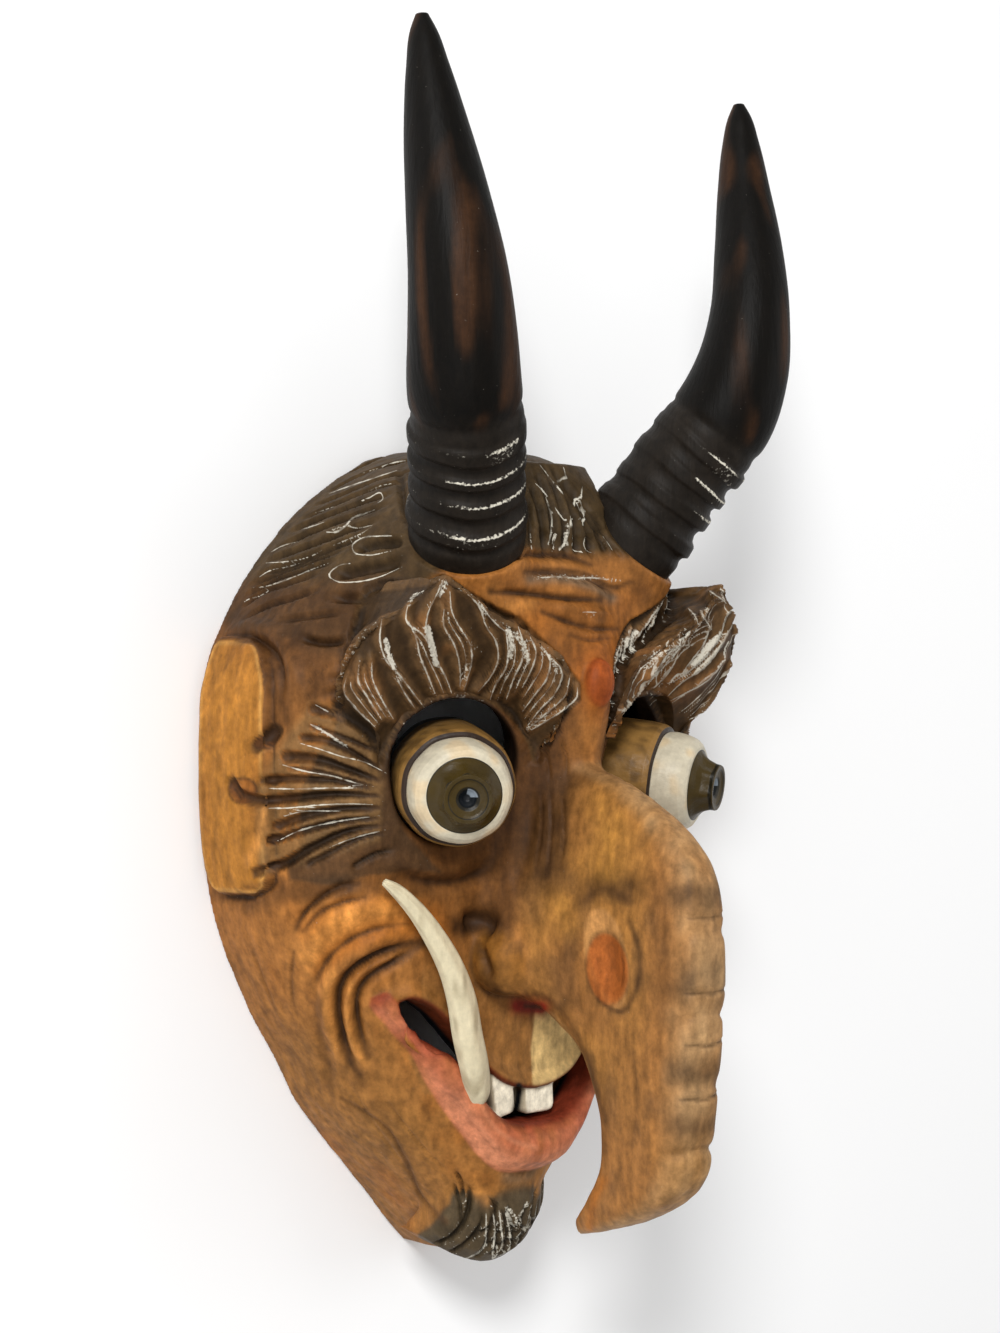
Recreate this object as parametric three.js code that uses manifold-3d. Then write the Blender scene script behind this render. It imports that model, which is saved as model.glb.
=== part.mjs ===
// Carved carnival mask with two horns, turned eyes, tusks and a trunk nose.
// Millimetres. X is picture right, Y runs up to the horns, Z comes out of the face.
// The mask lies on its back rim, which is the plane Z = 0.
import * as THREE from 'three';
import { ParametricGeometry } from 'three/addons/geometries/ParametricGeometry.js';
import * as BufferGeometryUtils from 'three/addons/utils/BufferGeometryUtils.js';
import Module from 'manifold-3d';

const wasm = await Module();
wasm.setup();

// Main sizes
const WALL_SIDE = 15;
const WALL_FRONT = 16;
const SEAT_GAP = 0.35;
const SHELL_COLUMNS = 18;
const CENTRE_SHIFT_Y = -46.9;

// Head sections from crown to chin: height Y, half width, depth, squareness, midline rise
const SECTIONS = [
  [137, 12, 34, 2.0, 0],
  [134, 25, 60, 2.2, 0],
  [129, 35, 75, 2.4, 0],
  [110, 63, 91, 2.6, 0],
  [97, 76, 94, 2.7, 0],
  [82, 88, 96, 2.8, 4],
  [67, 97, 98, 3.0, 8],
  [50, 104.5, 97, 3.2, 14],
  [34, 107.5, 90, 3.4, 22],
  [10, 108, 82, 3.6, 24],
  [-16, 107, 78, 3.6, 16],
  [-34, 104.5, 76, 3.5, 6],
  [-54, 99.5, 74, 3.3, 0],
  [-72, 92, 72, 3.1, 0],
  [-88, 84, 70, 3.0, 0],
  [-106, 73, 69, 2.8, 0],
  [-124, 63, 68, 2.7, 0],
  [-140, 50, 67, 2.6, 0],
  [-156, 36, 64, 2.5, 0],
  [-170, 24, 58, 2.4, 0],
  [-181, 15, 50, 2.3, 0],
  [-188, 8, 38, 2.0, 0],
];
const MIDLINE_SPREAD = 20;
const INNER_LEVELS = [119, 111, 95, 70, 40, 5, -30, -65, -100, -130, -155, -171];

// Nose trunk, a thick upright fin: front edge Y Z, back edge Y Z, half thickness, widening at the back
const TRUNK = [
  [27, 90, -72, 58, 27, 0.35],
  [15, 103, -78, 74, 22, 0.5],
  [10, 111, -81, 83, 18.5, 0.45],
  [5, 126, -85, 92, 15.5, 0.35],
  [-2, 141, -90, 98, 14, 0.2],
  [-11, 156, -94, 103.5, 13.5, 0.1],
  [-23, 167, -98, 107.5, 13.5, 0],
  [-36, 171.5, -102, 110.5, 13.5, 0],
  [-60, 173, -108, 114, 13.5, 0],
  [-88, 171, -117, 118.5, 13.5, 0],
  [-114, 168, -127, 120.5, 13, 0],
  [-135, 165, -136.5, 120, 12.5, 0],
  [-147, 156, -144, 117.5, 12, 0],
  [-157, 139, -151, 113, 11, 0],
  [-164, 120, -157, 108.5, 9, 0],
  [-168, 106, -161.5, 104, 6, 0],
];
const TRUNK_NOTCHES = [-44.5, -75, -102, -127];
const NOTCH_DEPTH = 2.4;
const NOTCH_HALF = 3.4;
const TRUNK_SIDES = 12;

// Horns: centre line X Y Z and radius, from the seat in the head to the tip
const HORN_LINE = {
  right: [
    [40.4, 96.5, 81.6, 22], [43, 102, 85, 22.5], [49, 115, 93, 21], [54, 126.5, 99, 21], [60, 138.5, 106, 21],
    [66.5, 152, 112, 21], [70.5, 168, 116, 20], [74, 189, 118, 18.3], [77, 215, 116, 15.6],
    [79, 243, 111.5, 11.9], [80.3, 266, 108, 7.8], [80.7, 279, 106, 4.8], [80.9, 284.5, 105.5, 2.4],
  ],
  left: [
    [40.4, 96.5, 81.6, 21.5], [43, 102, 85, 22], [49, 114, 92, 20.5], [54, 125, 98, 20.5], [60, 136, 105, 20.5],
    [66, 149, 113, 20.6], [69.8, 166, 119, 18.8], [72.5, 188, 121, 16], [76, 215, 117, 13.6],
    [79, 240, 111.5, 10.6], [80.3, 260, 108.5, 7.4], [80.6, 271, 107.5, 4.6], [80.7, 276, 107, 2.2],
  ],
};
const HORN_BOSS = [[29.4, 72.8, 66.9, 29], [35, 84.7, 74.3, 26], [40.4, 96.5, 81.6, 23.8]];
const HORN_SIDES = 12;
const RING_PITCH = 11.5;
const RING_COUNT = 4;
const RING_WIDTH = 5.4;
const RING_RISE = 1.8;

// Turned eyes: axis, seat point and profile of distance along the axis and radius
const EYE_SEAT = [41.3, 6.2, 71.3];
const EYE_AXIS = [0.49, -0.12, 0.863];
const EYE_PROFILE = [
  [-12, 3.2], [-12, 22.2], [12, 23], [22.5, 22.8], [24, 21.6], [24.5, 19.6], [30, 19.6], [35.5, 18.2], [37.8, 16.2],
  [38.2, 13.8], [42, 10.8], [47, 9], [47, 7.2], [44.6, 3.2],
];
const EYE_SIDES = 14;
const SOCKET_RADIUS = 23.8;
const SOCKET_GAP_RADIUS = 25;
const SOCKET_GAP_RISE = 8;

// Tusks: centre line X Y Z and radius, root to tip
const TUSK_LINE = {
  right: [
    [25.5, -121, 66, 4.3], [28.5, -115, 73, 4.9], [33.5, -104, 77.5, 5.6], [38.5, -91, 79.5, 5.8],
    [42, -78, 80.5, 5.6], [47, -66, 81, 5], [54.5, -53.5, 80.5, 4.3], [64.5, -41, 79.5, 3.3],
    [73, -33.5, 78.5, 2.2], [77, -31, 78, 1.2],
  ],
  left: [
    [41, -112, 66, 4.3], [41.5, -106, 72, 4.9], [42.5, -98, 76.5, 5.6], [44, -88, 79.5, 5.8],
    [46.5, -77, 80.8, 5.6], [50.5, -66, 81, 5], [56.5, -53.5, 80.5, 4.3], [65, -41, 79.5, 3.3],
    [73, -33.5, 78.5, 2.2], [77, -31, 78, 1.2],
  ],
};

// Mouth lines: distance from the mouth's middle and level, for the opening and the lower lip
const MOUTH_HALF = 60;
const LIP_HALF = 69;
const MOUTH_SHIFT = 5;
const UPPER_LINE = [
  [0, -118], [10, -116.5], [20, -112], [26, -107], [33, -99], [40, -91], [46, -84.5], [52, -79.8],
  [57, -77.8], [60, -79],
];
const LOWER_LINE = [
  [0, -130.5], [12, -129.5], [20, -126], [28, -117.5], [34, -108.5], [40, -101], [46, -96.5], [55, -89.5],
  [60, -83],
];
const LIP_INNER_LINE = [...LOWER_LINE.slice(0, -1), [60, -80.5], [64, -75.5], [69, -77.5]];
const LIP_OUTER_LINE = [
  [0, -151.5], [14, -150.3], [25, -142.5], [33, -132.5], [40, -123], [47, -111], [52, -101], [59, -92],
  [65, -85], [69, -80],
];

// Interpolated head section at height y
function sectionAt(y) {
  let k = 0;
  while (k < SECTIONS.length - 2 && SECTIONS[k + 1][0] > y) {
    k += 1;
  }
  const a = SECTIONS[k];
  const b = SECTIONS[k + 1];
  const t = THREE.MathUtils.clamp((a[0] - y) / (a[0] - b[0]), 0, 1);
  const mix = (i) => THREE.MathUtils.lerp(a[i], b[i], t);
  return { width: mix(1), depth: mix(2), power: mix(3), rise: mix(4) };
}

// Front surface of the plain head at x, y
function faceDepth(x, y) {
  const s = sectionAt(y);
  const inside = Math.max(0, 1 - Math.abs(x / s.width) ** s.power);
  return s.depth * inside ** (1 / s.power) + s.rise * Math.exp(-((x / MIDLINE_SPREAD) ** 2));
}

// Side wall of the plain head at z, y
function wallReach(z, y) {
  const s = sectionAt(y);
  return s.width * Math.max(0, 1 - (z / s.depth) ** s.power) ** (1 / s.power);
}

// Point on a section curve at a share t of its half length, lifted outwards
function sectionPoint(s, side, t, lift, y) {
  const steps = 48;
  const xs = [];
  const zs = [];
  const run = [0];
  for (let i = 0; i <= steps; i += 1) {
    const a = (Math.PI / 2) * (1 - i / steps);
    xs.push(s.width * Math.cos(a) ** (2 / s.power));
    zs.push(s.depth * Math.sin(a) ** (2 / s.power));
    if (i > 0) {
      run.push(run[i - 1] + Math.hypot(xs[i] - xs[i - 1], zs[i] - zs[i - 1]));
    }
  }
  const goal = THREE.MathUtils.clamp(t, 0, 1) * run[steps];
  let k = 1;
  while (k < steps && run[k] < goal) {
    k += 1;
  }
  const f = (goal - run[k - 1]) / (run[k] - run[k - 1]);
  const x = THREE.MathUtils.lerp(xs[k - 1], xs[k], f);
  const z = THREE.MathUtils.lerp(zs[k - 1], zs[k], f);
  const dx = xs[k] - xs[k - 1];
  const dz = zs[k] - zs[k - 1];
  const length = Math.hypot(dx, dz);
  const rise = s.rise * Math.exp(-((x / MIDLINE_SPREAD) ** 2));
  return new THREE.Vector3(side * (x - (lift * dz) / length), y, z + (lift * dx) / length + rise);
}

// Point on the head at an arc distance from the midline
function skinPoint(side, arc, y, lift) {
  const s = sectionAt(y);
  const total = halfLength(s);
  return sectionPoint(s, side, arc / total, lift, y);
}

function halfLength(s) {
  let total = 0;
  let px = 0;
  let pz = s.depth;
  for (let i = 1; i <= 48; i += 1) {
    const a = (Math.PI / 2) * (1 - i / 48);
    const x = s.width * Math.cos(a) ** (2 / s.power);
    const z = s.depth * Math.sin(a) ** (2 / s.power);
    total += Math.hypot(x - px, z - pz);
    px = x;
    pz = z;
  }
  return total;
}

// Closed body through a row of closed rings with equal point counts
function loft(rings) {
  const sides = rings[0].length;
  const centre = (ring) => ring.reduce((sum, p) => sum.add(p), new THREE.Vector3()).divideScalar(ring.length);
  const ends = [centre(rings[0]), centre(rings[rings.length - 1])];
  const place = (u, v, target) => {
    const i = Math.round(u * (rings.length + 1)) - 1;
    const k = Math.round(v * sides) % sides;
    if (i < 0) {
      target.copy(ends[0]);
    } else if (i >= rings.length) {
      target.copy(ends[1]);
    } else {
      target.copy(rings[i][k]);
    }
  };
  return new ParametricGeometry(place, rings.length + 1, sides);
}

// Library solid made from a three.js geometry, facing outwards
function solid(geometry) {
  const bare = geometry.clone();
  bare.deleteAttribute('normal');
  bare.deleteAttribute('uv');
  const welded = BufferGeometryUtils.mergeVertices(bare, 1e-3);
  const at = welded.getAttribute('position').array;
  const index = welded.getIndex().array;
  const faces = [];
  let volume = 0;
  for (let i = 0; i < index.length; i += 3) {
    const [a, b, c] = [index[i], index[i + 1], index[i + 2]];
    if (a === b || b === c || c === a) {
      continue;
    }
    faces.push(a, b, c);
    const p = new THREE.Vector3().fromArray(at, a * 3);
    const q = new THREE.Vector3().fromArray(at, b * 3);
    const r = new THREE.Vector3().fromArray(at, c * 3);
    volume += p.dot(q.cross(r));
  }
  if (volume < 0) {
    for (let i = 0; i < faces.length; i += 3) {
      const keep = faces[i + 1];
      faces[i + 1] = faces[i + 2];
      faces[i + 2] = keep;
    }
  }
  const mesh = new wasm.Mesh({
    numProp: 3,
    vertProperties: new Float32Array(at),
    triVerts: new Uint32Array(faces),
  });
  return new wasm.Manifold(mesh);
}

// three.js geometry made from a library solid
function geometryOf(body) {
  const mesh = body.getMesh();
  const geometry = new THREE.BufferGeometry();
  geometry.setAttribute('position', new THREE.BufferAttribute(mesh.vertProperties, 3));
  geometry.setIndex(new THREE.BufferAttribute(mesh.triVerts, 1));
  const flat = geometry.toNonIndexed();
  flat.computeVertexNormals();
  return flat;
}

function joined(bodies) {
  return bodies.reduce((sum, body) => sum.add(body));
}

function mirrored(build) {
  return [build(-1), build(1)];
}

// Head shell, outer form
function headBody() {
  const rings = SECTIONS.map((row) => {
    const s = { width: row[1], depth: row[2], power: row[3], rise: row[4] };
    const ring = [];
    for (let k = 0; k <= SHELL_COLUMNS; k += 1) {
      const t = (2 * k) / SHELL_COLUMNS - 1;
      ring.push(sectionPoint(s, Math.sign(t) || 1, Math.abs(t), 0, row[0]));
    }
    return ring;
  });
  return solid(loft(rings));
}

// Hollow behind the face, open at the back
function hollowBody() {
  const rings = INNER_LEVELS.map((y) => {
    const s = sectionAt(y);
    const inner = { width: s.width - WALL_SIDE, depth: s.depth - WALL_FRONT, power: s.power, rise: 0 };
    const ring = [];
    for (let k = 0; k <= 10; k += 1) {
      const t = (2 * k) / 10 - 1;
      ring.push(sectionPoint(inner, Math.sign(t) || 1, Math.abs(t), 0, y));
    }
    ring.push(new THREE.Vector3(inner.width, y, -8));
    ring.push(new THREE.Vector3(-inner.width, y, -8));
    return ring;
  });
  return solid(loft(rings));
}

// Trunk station at a front edge level, between the listed ones
function trunkStation(level) {
  let k = 0;
  while (k < TRUNK.length - 2 && TRUNK[k + 1][0] > level) {
    k += 1;
  }
  const t = (TRUNK[k][0] - level) / (TRUNK[k][0] - TRUNK[k + 1][0]);
  return TRUNK[k].map((value, n) => THREE.MathUtils.lerp(value, TRUNK[k + 1][n], t));
}

// Trunk nose with its four notches across the front edge
function trunkBody() {
  const near = (level) => TRUNK_NOTCHES.some((notch) => Math.abs(notch - level) < NOTCH_HALF + 1);
  const stations = TRUNK.filter((row) => !near(row[0])).map((row) => [row, 0]);
  TRUNK_NOTCHES.forEach((notch) => {
    stations.push([trunkStation(notch + NOTCH_HALF), 0]);
    stations.push([trunkStation(notch), NOTCH_DEPTH]);
    stations.push([trunkStation(notch - NOTCH_HALF), 0]);
  });
  stations.sort((a, b) => b[0][0] - a[0][0]);
  const rings = stations.map(([[fy, fz, by, bz, half, widen], notch]) => {
    const ring = [];
    const span = Math.hypot(fy - by, fz - bz);
    for (let k = 0; k < TRUNK_SIDES; k += 1) {
      const a = (k / TRUNK_SIDES) * Math.PI * 2;
      const round = (value) => Math.sign(value) * Math.abs(value) ** 0.8;
      let c = round(Math.cos(a));
      const x = half * round(Math.sin(a)) * (1 - widen * c);
      c = Math.min(c, c > 0.55 ? c - (2 * notch) / span : c);
      const shrink = c > 0.4 && notch > 0 ? 0.86 : 1;
      ring.push(new THREE.Vector3(x * shrink, (fy + by) / 2 + ((fy - by) / 2) * c, (fz + bz) / 2 + ((fz - bz) / 2) * c));
    }
    return ring;
  });
  return solid(loft(rings));
}

// Ellipsoid lump or hollow
function lump(x, y, z, rx, ry, rz, tilt = 0, around = 12, down = 8) {
  const g = new THREE.SphereGeometry(1, around, down);
  g.scale(rx, ry, rz);
  g.rotateX(tilt);
  g.translate(x, y, z);
  return solid(g);
}

// Brow crest: edge of the eye gap and free crest, nose side to temple side
const BROW_EDGE = [
  [17, 9, 86], [21, 21, 89], [28, 31, 90], [38, 38, 90], [48, 38.5, 87.5], [58, 34, 84], [66, 27, 79.5],
  [72, 18, 75], [75, 9, 71],
];
const BROW_CREST = [
  [13, 33, 108], [16, 47, 114], [33, 58, 116], [53, 68.5, 113.5], [71, 80.5, 109], [86, 69, 100], [98, 55, 89],
  [97, 39, 79], [82, 24, 72],
];
const BROW_LOCKS = 10;

function browBody(side) {
  const line = (points) => new THREE.CatmullRomCurve3(points.map((p) => new THREE.Vector3(side * p[0], p[1], p[2])));
  const edge = line(BROW_EDGE);
  const crest = line(BROW_CREST);
  const rings = [];
  const count = BROW_LOCKS * 2;
  for (let i = 0; i <= count; i += 1) {
    const t = i / count;
    const ridge = i % 2 === 1 ? 1 : -1;
    const low = edge.getPoint(t);
    const lean = Math.min(1, t + 0.03 * Math.sin(Math.PI * t));
    const high = crest.getPoint(lean);
    const out = high.clone().sub(low).normalize();
    const face = new THREE.Vector3(0, 0, 1).addScaledVector(out, -out.z).normalize();
    const flat = new THREE.Vector3(out.x, out.y, 0).normalize();
    const tip = high.clone().addScaledVector(out, ridge * 2.4);
    const mid = (f, lift) => low.clone().lerp(tip, f).addScaledVector(face, lift + ridge * 1.7);
    const anchor = (push, sink) => {
      const y = tip.y - push;
      const x = side * Math.min(Math.abs(tip.x), 0.86 * sectionAt(y).width);
      return new THREE.Vector3(x, y, faceDepth(x, y) - sink);
    };
    const root = low.clone().addScaledVector(flat, 3);
    root.z = faceDepth(root.x, root.y) - 12;
    const ring = [root, low.clone(), mid(0.3, 1.5), mid(0.68, 2)];
    ring.push(tip, tip.clone().addScaledVector(flat, 1).add(new THREE.Vector3(0, 0, -4)), anchor(1, 0), anchor(5, 8));
    rings.push(ring);
  }
  return solid(loft(rings));
}

// Carved locks laid on the skin: start and end of each lock as height and arc distance
function lockSheet(side, locks, rise, depth, shape) {
  const rings = [];
  const count = locks.length * 2;
  for (let i = 0; i <= count; i += 1) {
    const onRidge = i % 2 === 1;
    const place = (i - 1) / 2;
    const lower = THREE.MathUtils.clamp(Math.floor(place), 0, locks.length - 1);
    const upper = THREE.MathUtils.clamp(Math.ceil(place), 0, locks.length - 1);
    const mix = (n) => (locks[lower][n] + locks[upper][n]) / 2;
    const extra = i === 0 ? -1 : i === count ? 1 : 0;
    const half = (locks[locks.length - 1][0] - locks[0][0]) / (locks.length - 1) / 2;
    const ring = [];
    shape.forEach(([along, lift]) => {
      const reach = onRidge ? along : along * 0.9;
      const y = THREE.MathUtils.lerp(mix(0), mix(2), reach) + extra * half;
      const arc = THREE.MathUtils.lerp(mix(1), mix(3), reach);
      const height = onRidge ? lift * rise : Math.min(lift, 0.15) * rise;
      ring.push(skinPoint(side, arc, y, extra === 0 ? height : -0.6));
    });
    [0.9, 0.5, 0.1].forEach((along) => {
      const y = THREE.MathUtils.lerp(mix(0), mix(2), along) + extra * half;
      ring.push(skinPoint(side, THREE.MathUtils.lerp(mix(1), mix(3), along), y, -depth));
    });
    rings.push(ring);
  }
  return solid(loft(rings));
}

const LOCK_SHAPE = [[0, 0.1], [0.3, 1], [0.75, 0.9], [1, -0.2]];

// Temple locks fanning from the outer eye corner
const TEMPLE_LOCKS = [
  [23, 82, 33, 112], [17, 79, 23, 129], [10, 78, 11, 138], [3, 77, -1, 140], [-5, 75, -11, 131],
  [-12, 75, -19, 121], [-19, 74, -26, 104],
];

// Hair locks over the side of the crown
const CROWN_LOCKS = [
  [131, 46, 124, 93], [123, 66, 114, 115], [113, 76, 105, 129], [104, 78, 96, 141], [95, 78, 87, 149],
  [87, 80, 78, 154], [79, 90, 70, 158],
];

// Side panel standing for the ear
function earBody(side) {
  const levels = [[60, 10, 25, 0], [57, 6, 33, 1], [50, 5, 40, 1], [38, 4, 44.5, 1], [5, 4, 45, 1], [-18, 4, 44, 1]];
  levels.push([-30, 5, 41, 1], [-36.5, 9, 34, 1], [-38.5, 14, 28, 0]);
  const rings = levels.map(([y, low, high, on]) => {
    const at = (z, lift) => new THREE.Vector3(side * (wallReach(z, y) + lift), y, z);
    const top = on ? 3.4 : -1;
    const ring = [at(low, -1), at(low + 1.8, top), at(high - 1.8, top)];
    ring.push(at(high, -1), at(high - 2, -6), at(low + 2, -6));
    return ring;
  });
  return solid(loft(rings));
}

// Curved smile folds beside the mouth: height and arc distance of each line
const FOLD_LINES = [
  [[-57, 50], [-63, 60], [-72, 67], [-82, 68], [-92, 66], [-102, 60]],
  [[-56, 54], [-60, 64], [-68, 73], [-79, 77], [-91, 74], [-104, 68]],
  [[-53, 50], [-56, 66], [-64, 78], [-77, 84], [-90, 82], [-108, 74]],
  [[-48, 56], [-50, 76], [-61, 90], [-77, 94], [-94, 90], [-114, 78]],
];

function foldBody(side) {
  const rows = 9;
  const lines = FOLD_LINES.map((line) => new THREE.CatmullRomCurve3(line.map((p) => new THREE.Vector3(p[0], p[1], 0))));
  const rings = [];
  for (let i = 0; i <= rows; i += 1) {
    const t = i / rows;
    const swell = Math.sin(Math.PI * Math.min(1, 0.12 + t * 0.88)) ** 0.7;
    const on = (n, lift) => {
      const a = lines[Math.floor(n)].getPoint(t);
      const b = lines[Math.ceil(n)].getPoint(t);
      const p = a.lerp(b, n % 1);
      return skinPoint(side, p.y, p.x, lift * swell - (1 - swell));
    };
    const ring = [on(0, -0.5), on(0.5, 3), on(1, 0.2), on(1.5, 3.4), on(2, 0.2), on(2.5, 3.6), on(3, -0.5)];
    ring.push(on(2.5, -6), on(1.5, -6), on(0.5, -6));
    rings.push(ring);
  }
  return solid(loft(rings));
}

// Level of a mouth line at x; the mouth's middle sits a little to the left of the nose
function levelOn(line, x) {
  const away = Math.abs(x - MOUTH_SHIFT * Math.max(0, 1 - (x / MOUTH_HALF) ** 2));
  let k = 0;
  while (k < line.length - 2 && line[k + 1][0] < away) {
    k += 1;
  }
  const share = THREE.MathUtils.clamp((away - line[k][0]) / (line[k + 1][0] - line[k][0]), 0, 1);
  return THREE.MathUtils.lerp(line[k][1], line[k + 1][1], share);
}

function lipBody() {
  const rings = [];
  const half = 7;
  for (let i = -half; i <= half; i += 1) {
    const x = (i / half) * LIP_HALF;
    const fade = Math.cos(((i / half) * Math.PI) / 2) ** 0.6;
    const inner = levelOn(LIP_INNER_LINE, x) + 1;
    const outer = Math.min(levelOn(LIP_OUTER_LINE, x), inner - 2);
    const swell = 2.5 + 8.5 * fade;
    const at = (f, lift) => {
      const y = THREE.MathUtils.lerp(inner, outer, f);
      return new THREE.Vector3(x, y, faceDepth(x, y) + lift);
    };
    rings.push([at(0, -10), at(0, swell * 0.25), at(0.42, swell), at(0.76, swell * 0.8), at(1, -1.5), at(0.6, -10)]);
  }
  return solid(loft(rings));
}

function upperLipBody() {
  const rings = [];
  const half = 6;
  for (let i = -half; i <= half; i += 1) {
    const x = (i / half) * (MOUTH_HALF + 3);
    const base = levelOn(UPPER_LINE, x);
    const at = (rise, lift) => new THREE.Vector3(x, base + rise, faceDepth(x, base + rise) + lift);
    rings.push([at(-1, -9), at(-1, 2), at(2.5, 3), at(6.5, -1), at(3, -9)]);
  }
  return solid(loft(rings));
}

// Opening between the lips, or its wider relief from behind
function mouthCut(grow, depth) {
  const shape = new THREE.Shape();
  const half = 6;
  for (let i = -half; i <= half; i += 1) {
    const x = (i / half) * MOUTH_HALF;
    const y = levelOn(UPPER_LINE, x) + (grow > 1 ? 4 : 0);
    if (i === -half) {
      shape.moveTo(x * grow, y);
    } else {
      shape.lineTo(x * grow, y);
    }
  }
  for (let i = half; i >= -half; i -= 1) {
    const x = (i / half) * (MOUTH_HALF - 2);
    shape.lineTo(x * grow, levelOn(LOWER_LINE, x) - (grow > 1 ? 4 : 0));
  }
  const g = new THREE.ExtrudeGeometry(shape, { depth, bevelEnabled: false });
  g.translate(0, 0, 20);
  return solid(g);
}

// Everything behind the rim plane
function floorCut() {
  const g = new THREE.BoxGeometry(400, 600, 60);
  g.translate(0, 0, -30);
  return solid(g);
}

// Two front teeth
function toothBody(x, y, width, height, turn) {
  const g = new THREE.BoxGeometry(width, height, 11);
  g.rotateZ(turn);
  g.translate(x, y, 63.5);
  return solid(g);
}

// Beard locks under the chin
function beardBody() {
  const locks = 7;
  const count = locks * 2;
  const rings = [];
  for (let i = 0; i <= count; i += 1) {
    const s = i / locks - 1;
    const ridge = i % 2 === 1 ? 1 : 0;
    const x = s * 25;
    const drop = 34 - 12 * s * s;
    const at = (v, lift) => {
      const spread = 1 + 0.05 * v;
      return new THREE.Vector3(x * spread, -157 - drop * v, (63 - 17 * v * v) * (1 - 0.22 * s * s) + lift);
    };
    const reach = ridge ? 1 : 0.9;
    const ring = [at(-0.12, -2), at(0.15, ridge * 3.5), at(0.5, 2 + ridge * 3.5), at(0.82, 2 + ridge * 3.2)];
    ring.push(at(reach, -2), at(0.9, -18), at(0.4, -12));
    rings.push(ring);
  }
  return solid(loft(rings));
}

// Forelock between the horns
function forelockBody() {
  const locks = 6;
  const count = locks * 2;
  const rings = [];
  for (let i = 0; i <= count; i += 1) {
    const s = i / locks - 1;
    const ridge = i % 2 === 1 ? 1 : 0;
    const at = (v, lift) => {
      const y = 129 - (35 - 6 * s * s) * v;
      const x = s * (24 - 5 * v);
      return new THREE.Vector3(x, y, Math.max(faceDepth(x, Math.min(y, 122)), 74) + lift);
    };
    const reach = ridge ? 1 : 0.84;
    const ring = [at(0, -8), at(0.02, -2), at(0.2, 1 + ridge * 3), at(0.6, 2 + ridge * 3), at(reach, -1)];
    ring.push(at(0.9, -9), at(0.5, -9));
    rings.push(ring);
  }
  return solid(loft(rings));
}

// Round body swept along a centre line with a radius at each point
function sweepBody(side, line, sides, steps, radiusAt, grow = 0) {
  const curve = new THREE.CatmullRomCurve3(line.map((p) => new THREE.Vector3(side * p[0], p[1], p[2])));
  const rings = steps.map((t, n) => {
    const centre = curve.getPoint(t);
    const along = curve.getTangent(t);
    if (grow > 0 && n === 0) {
      centre.addScaledVector(along, -grow);
    }
    const across = new THREE.Vector3(0, 0, 1).cross(along).normalize();
    const up = along.clone().cross(across).normalize();
    const ring = [];
    for (let k = 0; k < sides; k += 1) {
      const a = (k / sides) * Math.PI * 2;
      const r = radiusAt(t) + grow;
      ring.push(centre.clone().addScaledVector(across, r * Math.cos(a)).addScaledVector(up, r * Math.sin(a)));
    }
    return ring;
  });
  return solid(loft(rings));
}

function radiusAlong(line, t) {
  const place = t * (line.length - 1);
  const k = Math.min(line.length - 2, Math.floor(place));
  return THREE.MathUtils.lerp(line[k][3], line[k + 1][3], place - k);
}

// Root boss that carries a horn out of the forehead
function bossBody(side) {
  return sweepBody(side, HORN_BOSS, HORN_SIDES, [0, 0.5, 1], (t) => radiusAlong(HORN_BOSS, t));
}

// Stations along a horn, with four raised rings near the root
function hornStations(line) {
  const curve = new THREE.CatmullRomCurve3(line.map((p) => new THREE.Vector3(p[0], p[1], p[2])));
  const length = curve.getLength();
  const toParameter = (distance) => curve.getUtoTmapping(Math.min(1, distance / length));
  const stations = [[0, 0], [6, 0]];
  const start = 12;
  for (let i = 0; i < RING_COUNT; i += 1) {
    const at = start + i * RING_PITCH;
    stations.push([at, -0.9], [at + 1, RING_RISE], [at + RING_WIDTH, RING_RISE]);
  }
  const end = start + RING_COUNT * RING_PITCH;
  stations.push([end, -0.7]);
  const rest = 7;
  for (let i = 1; i <= rest; i += 1) {
    const f = (i / rest) ** 0.85;
    stations.push([end + (length - end) * f, 0]);
  }
  return stations.map(([distance, rise]) => [toParameter(distance), rise]);
}

function hornBody(side, name, grow) {
  const line = HORN_LINE[name];
  const stations = hornStations(line);
  const radiusAt = (t) => {
    const found = stations.find((s) => s[0] === t);
    return radiusAlong(line, t) + (found && grow === 0 ? found[1] : Math.max(0, found ? found[1] : 0));
  };
  return sweepBody(side, line, HORN_SIDES, stations.map((s) => s[0]), radiusAt, grow);
}

function tuskBody(side, grow) {
  const line = TUSK_LINE[side < 0 ? 'right' : 'left'];
  const steps = [];
  for (let i = 0; i <= 10; i += 1) {
    steps.push(i / 10);
  }
  return sweepBody(side, line, 7, steps, (t) => radiusAlong(line, t), grow);
}

// Eye turned on its own axis, pointing outwards and a little down
function eyePlacement(side) {
  const axis = new THREE.Vector3(side * EYE_AXIS[0], EYE_AXIS[1], EYE_AXIS[2]).normalize();
  const seat = new THREE.Vector3(side * EYE_SEAT[0], EYE_SEAT[1], EYE_SEAT[2]);
  const turn = new THREE.Quaternion().setFromUnitVectors(new THREE.Vector3(0, 1, 0), axis);
  return { axis, seat, turn };
}

function eyeGeometry() {
  const profile = EYE_PROFILE.map(([along, radius]) => new THREE.Vector2(radius, along));
  profile.push(profile[0].clone());
  return new THREE.LatheGeometry(profile, EYE_SIDES);
}

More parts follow.
